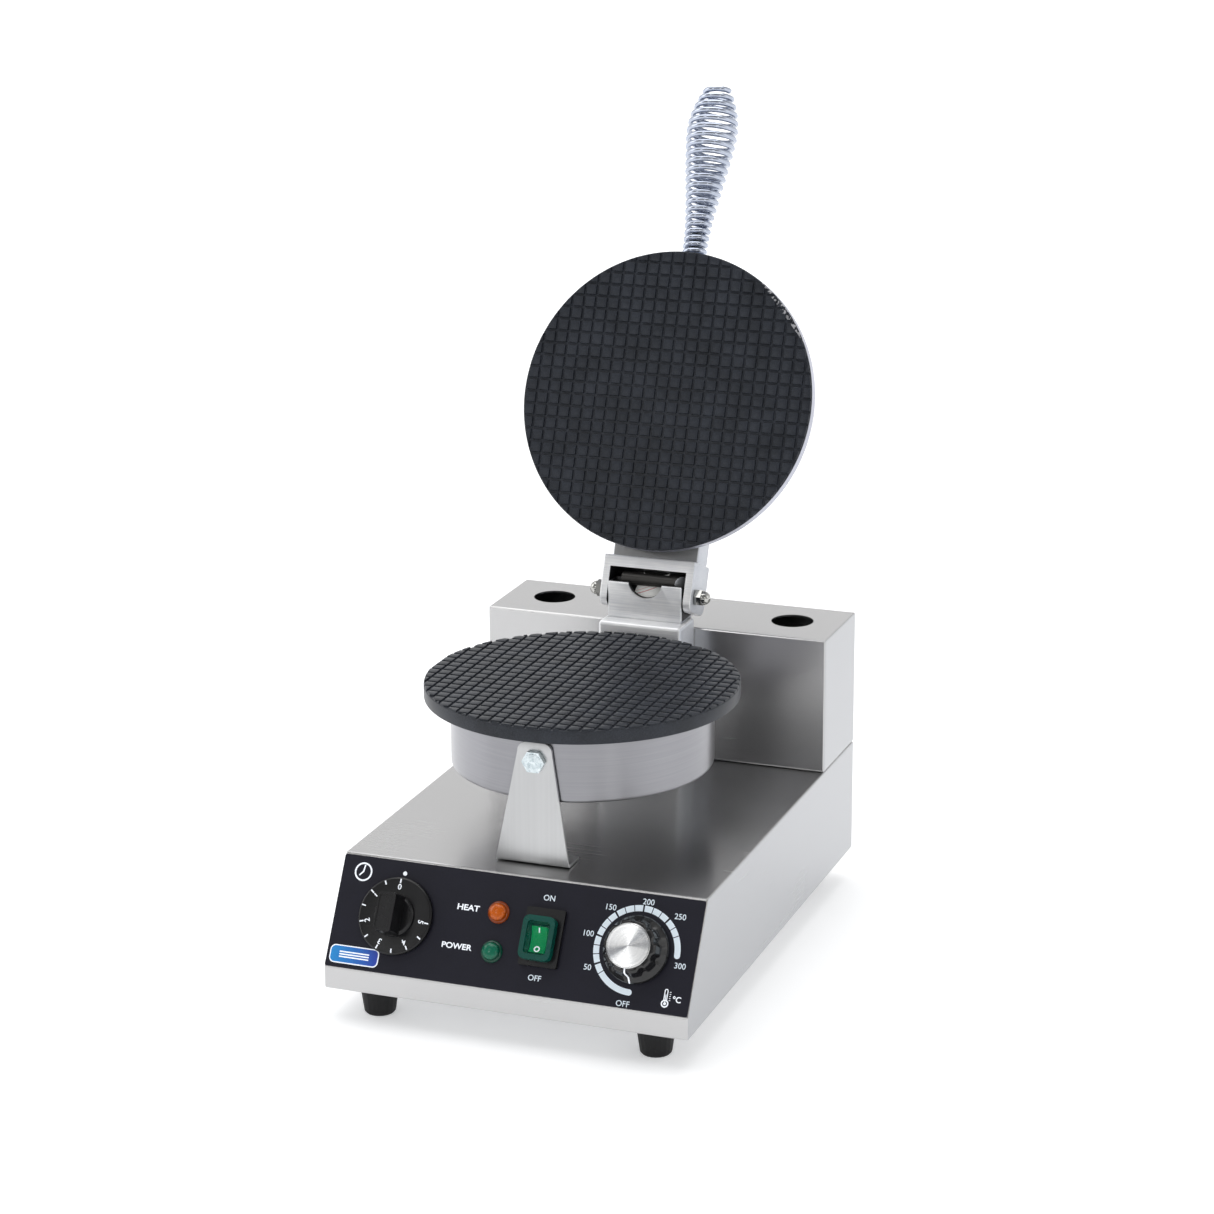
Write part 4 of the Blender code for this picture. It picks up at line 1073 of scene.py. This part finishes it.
# ---- switch
bezel = sheet(rounded_rectangle(25, 36, 1.2, 4), 1.0, 3.4)
soften(bezel, 0.7, 3, 40, lambda e: all(v.co.z > 2 for v in e.verts))
bezel = carve(bezel, sheet(rounded_rectangle(20.4, 25.2, 0.5, 2), -24, 1.6), add=True)
bezel = carve(bezel, sheet(rounded_rectangle(17.2, 21.6, 0.5, 2), -15, 6))
piece("switch_bezel", bezel, SWITCH, black_satin, BASE, ["switch_body"])
boot_look = moulded("boot_rubber", (0.0, 0.066, 0.050), 0.26, grain=900.0, by=0.2,
                    Specular_IOR_Level=0.25)
boot = sheet(rounded_rectangle(20.8, 27.2, 4.2, 8), 3.6, 8.9)
soften(boot, 1.2, 4, 40, lambda e: all(v.co.z > 8 for v in e.verts))
boot = carve(boot, sheet(rounded_rectangle(14.6, 20.4, 2.2, 6), 1, 12),
             sheet(rounded_rectangle(17.0, 22.0, 2.6, 6), 1, 7.6))
piece("switch_boot_frame", boot, SWITCH @ BOOT_SHIFT, boot_look, BASE, ["switch_boot"], 40)
glass = Look("boot_window", (0.02, 0.30, 0.20), 0.08, Alpha=0.07)
haze = glass.noise(500.0)
glass.shade(haze, 0.1)
glass.bump(haze, 0.1, 0.00002)
pane = sheet(rounded_rectangle(16.6, 21.6, 2.4, 6), 7.62, 8.1)
piece("switch_boot_window", pane, SWITCH @ BOOT_SHIFT, glass, BASE)
skirt_look = moulded("boot_skirt", (0.0, 0.040, 0.032), 0.3, grain=900.0, by=0.2, Coat_Weight=0.4)
skirt = rows([[(x, y, z) for x, y in rounded_rectangle(*size, 6)] for size, z in
              (((16.6, 21.6, 2.4), 7.3), ((15.6, 20.4, 2.0), 7.3), ((11.4, 18.4, 1.2), 3.6),
               ((16.6, 21.6, 2.4), 3.6))], closed=True)
piece("switch_boot_skirt", skirt, SWITCH @ BOOT_SHIFT, skirt_look, BASE)
# painted light: the rocker glows a little by emission, which brightens its green
rock = moulded("rocker_green", (0.0, 0.26, 0.065), 0.4, grain=500.0, depth=0.000005, by=0.05,
               Specular_IOR_Level=0.15, Emission_Color=(0.0, 0.5, 0.14), Emission_Strength=0.12)
RAISE = 1.1
rock_outline = [(-8.1, 6.6 + RAISE), (-4.0, 5.0 + RAISE), (0, 4.5 + RAISE), (4.0, 5.0 + RAISE),
                (8.1, 6.6 + RAISE), (7.2, 0), (2.5, -6), (-2.5, -6), (-7.2, 0)]
body = soften(slab(rock_outline, -5.1, 5.1), 0.35, 2, 25)
piece("switch_rocker", body, ROCKER @ BOOT_SHIFT, rock, "rocker", ["rocker"])
slope = math.degrees(math.atan2(1.6, 4.1))
flat = (0.02, 0.08)
marks = [turn(bar(0, -1.6, 0, 1.6, 0.8, flat), shift(0, 5.8, 5.70 + RAISE) @ tilt(slope)),
         turn(ring(0, 0, 1.15, 1.95, flat, 32), shift(0, -5.8, 5.70 + RAISE) @ tilt(-slope))]
piece("switch_marks", join(*marks), ROCKER @ BOOT_SHIFT, print_white_glow, "rocker")

# ---- remaining CAD nodes
NODE_LOOKS = {
    "base_housing": stainless, "rear_box": stainless, "bottom_tray": stainless,
    "hinge_pedestal": casting, "hinge_yoke": casting, "lead_guard_bar": dark_steel,
    "front_bracket": bracket_steel, "bracket_bolt": zinc,
    "terminal_block": ceramic, "thermostat_body": ceramic, "timer_body": black_satin,
    "cable_gland": black_satin,
}
for name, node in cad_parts.items():
    if name in NODE_LOOKS:
        look = NODE_LOOKS[name]
    elif name.startswith("foot_screw") or "bolt" in name or "screw" in name:
        look = zinc
    elif name.startswith("foot_"):
        look = rubber
    elif name.startswith("acorn"):
        look = chrome
    elif "pin" in name or "stud" in name or "nut" in name or "shaft" in name:
        look = zinc
    elif "element" in name:
        look = dark_steel
    elif "lead" in name:
        look = ceramic
    else:
        continue
    for entry in node.material_slots:
        entry.material = look.mat

# ---- stage
DARK_ABOVE, DARK_AHEAD = 0.6, 0.46
floor_mesh = bmesh.new()
bmesh.ops.create_grid(floor_mesh, x_segments=1, y_segments=1, size=6.0)
data = mesh_of(floor_mesh, "floor")
floor = show("floor", data)
floor_look = Look("floor_white", (0.86, 0.86, 0.865), 0.8)
floor_look.shade(floor_look.noise(3.0), 0.005)
x, y = floor_look.xyz()[:2]
away = (x ** 2.0 + y ** 2.0) ** 0.5
floor_look.set(Emission_Color=(0.97, 0.985, 1.0),
               Emission_Strength=floor_look.spread(away, 0.38, 1.0, 1.5, 3.0))
data.materials.append(floor_look.mat)

world = bpy.data.worlds.new("studio")
world.use_nodes = True
sky = Nodes(world.node_tree)
sky.tree.nodes.clear()
# white behind and beside the machine, darker above and in front of it
_, y, z = sky.xyz("Generated")
above = sky.spread(z, 1.0, DARK_ABOVE, 0.30, 0.62, interpolation_type='SMOOTHSTEP')
ahead = sky.spread(y, DARK_AHEAD, 1.0, -0.55, 0.15, interpolation_type='SMOOTHSTEP')
seen = sky.node("LightPath", {}).outputs["Is Camera Ray"]
shine = sky.node("Background", {"Color": (1, 1, 1), "Strength": sky.math('MAXIMUM', above * ahead, seen)})
sky.node("OutputWorld", {"Surface": shine.outputs[0]})
bpy.context.scene.world = world


def softbox(name, place, target, size, power, colour=(1, 1, 1)):
    light = bpy.data.lights.new(name, 'AREA')
    light.shape = 'RECTANGLE'
    light.size, light.size_y = size
    light.energy = power
    light.color = colour
    obj = show(name, light)
    obj.location = place
    direction = Vector(target) - Vector(place)
    obj.rotation_euler = direction.to_track_quat('-Z', 'Y').to_euler()


softbox("overhead", (-0.3, 0.35, 2.1), (0, 0, 0.1), (2.2, 2.2), 28)
softbox("left", (-2.0, -0.3, 1.1), (0, 0, 0.2), (1.2, 1.4), 8)
softbox("right", (2.0, 0.1, 1.2), (0, 0, 0.2), (1.0, 1.4), 2.5)
softbox("strip", (1.37, -1.52, 0.9), (0, -0.06, 0.16), (0.12, 1.2), 1.5, (1.0, 0.97, 0.88))
softbox("spot", (-0.5, -1.2, 1.0), (0.08, -0.18, 0.07), (0.3, 0.3), 0.35)
softbox("front", (-1.35, -3.3, 1.75), (0, 0.06, 0.25), (0.8, 0.5), 4)

# ---- camera
CAMERA_AZ, CAMERA_EL, CAMERA_ROLL = 20.6366, 16.9036, -0.3875
az, el, roll = (radians(a) for a in (CAMERA_AZ, CAMERA_EL, CAMERA_ROLL))
back = Vector((sin(az) * cos(el), -cos(az) * cos(el), sin(el)))
right = Vector((cos(az), sin(az), 0))
up = back.cross(right)
right2 = right * cos(roll) + up * sin(roll)
up2 = up * cos(roll) - right * sin(roll)
camera_data = bpy.data.cameras.new("camera")
camera_data.sensor_width = 36.0
camera_data.lens = 99.27
camera_data.clip_end = 50.0
camera = show("camera", camera_data)
pose = Matrix((right2, up2, back)).transposed().to_4x4()
pose.translation = (0.72622, -1.94679, 0.85310)
camera.matrix_world = pose
bpy.context.scene.camera = camera
bpy.context.scene.view_settings.view_transform = 'Standard'
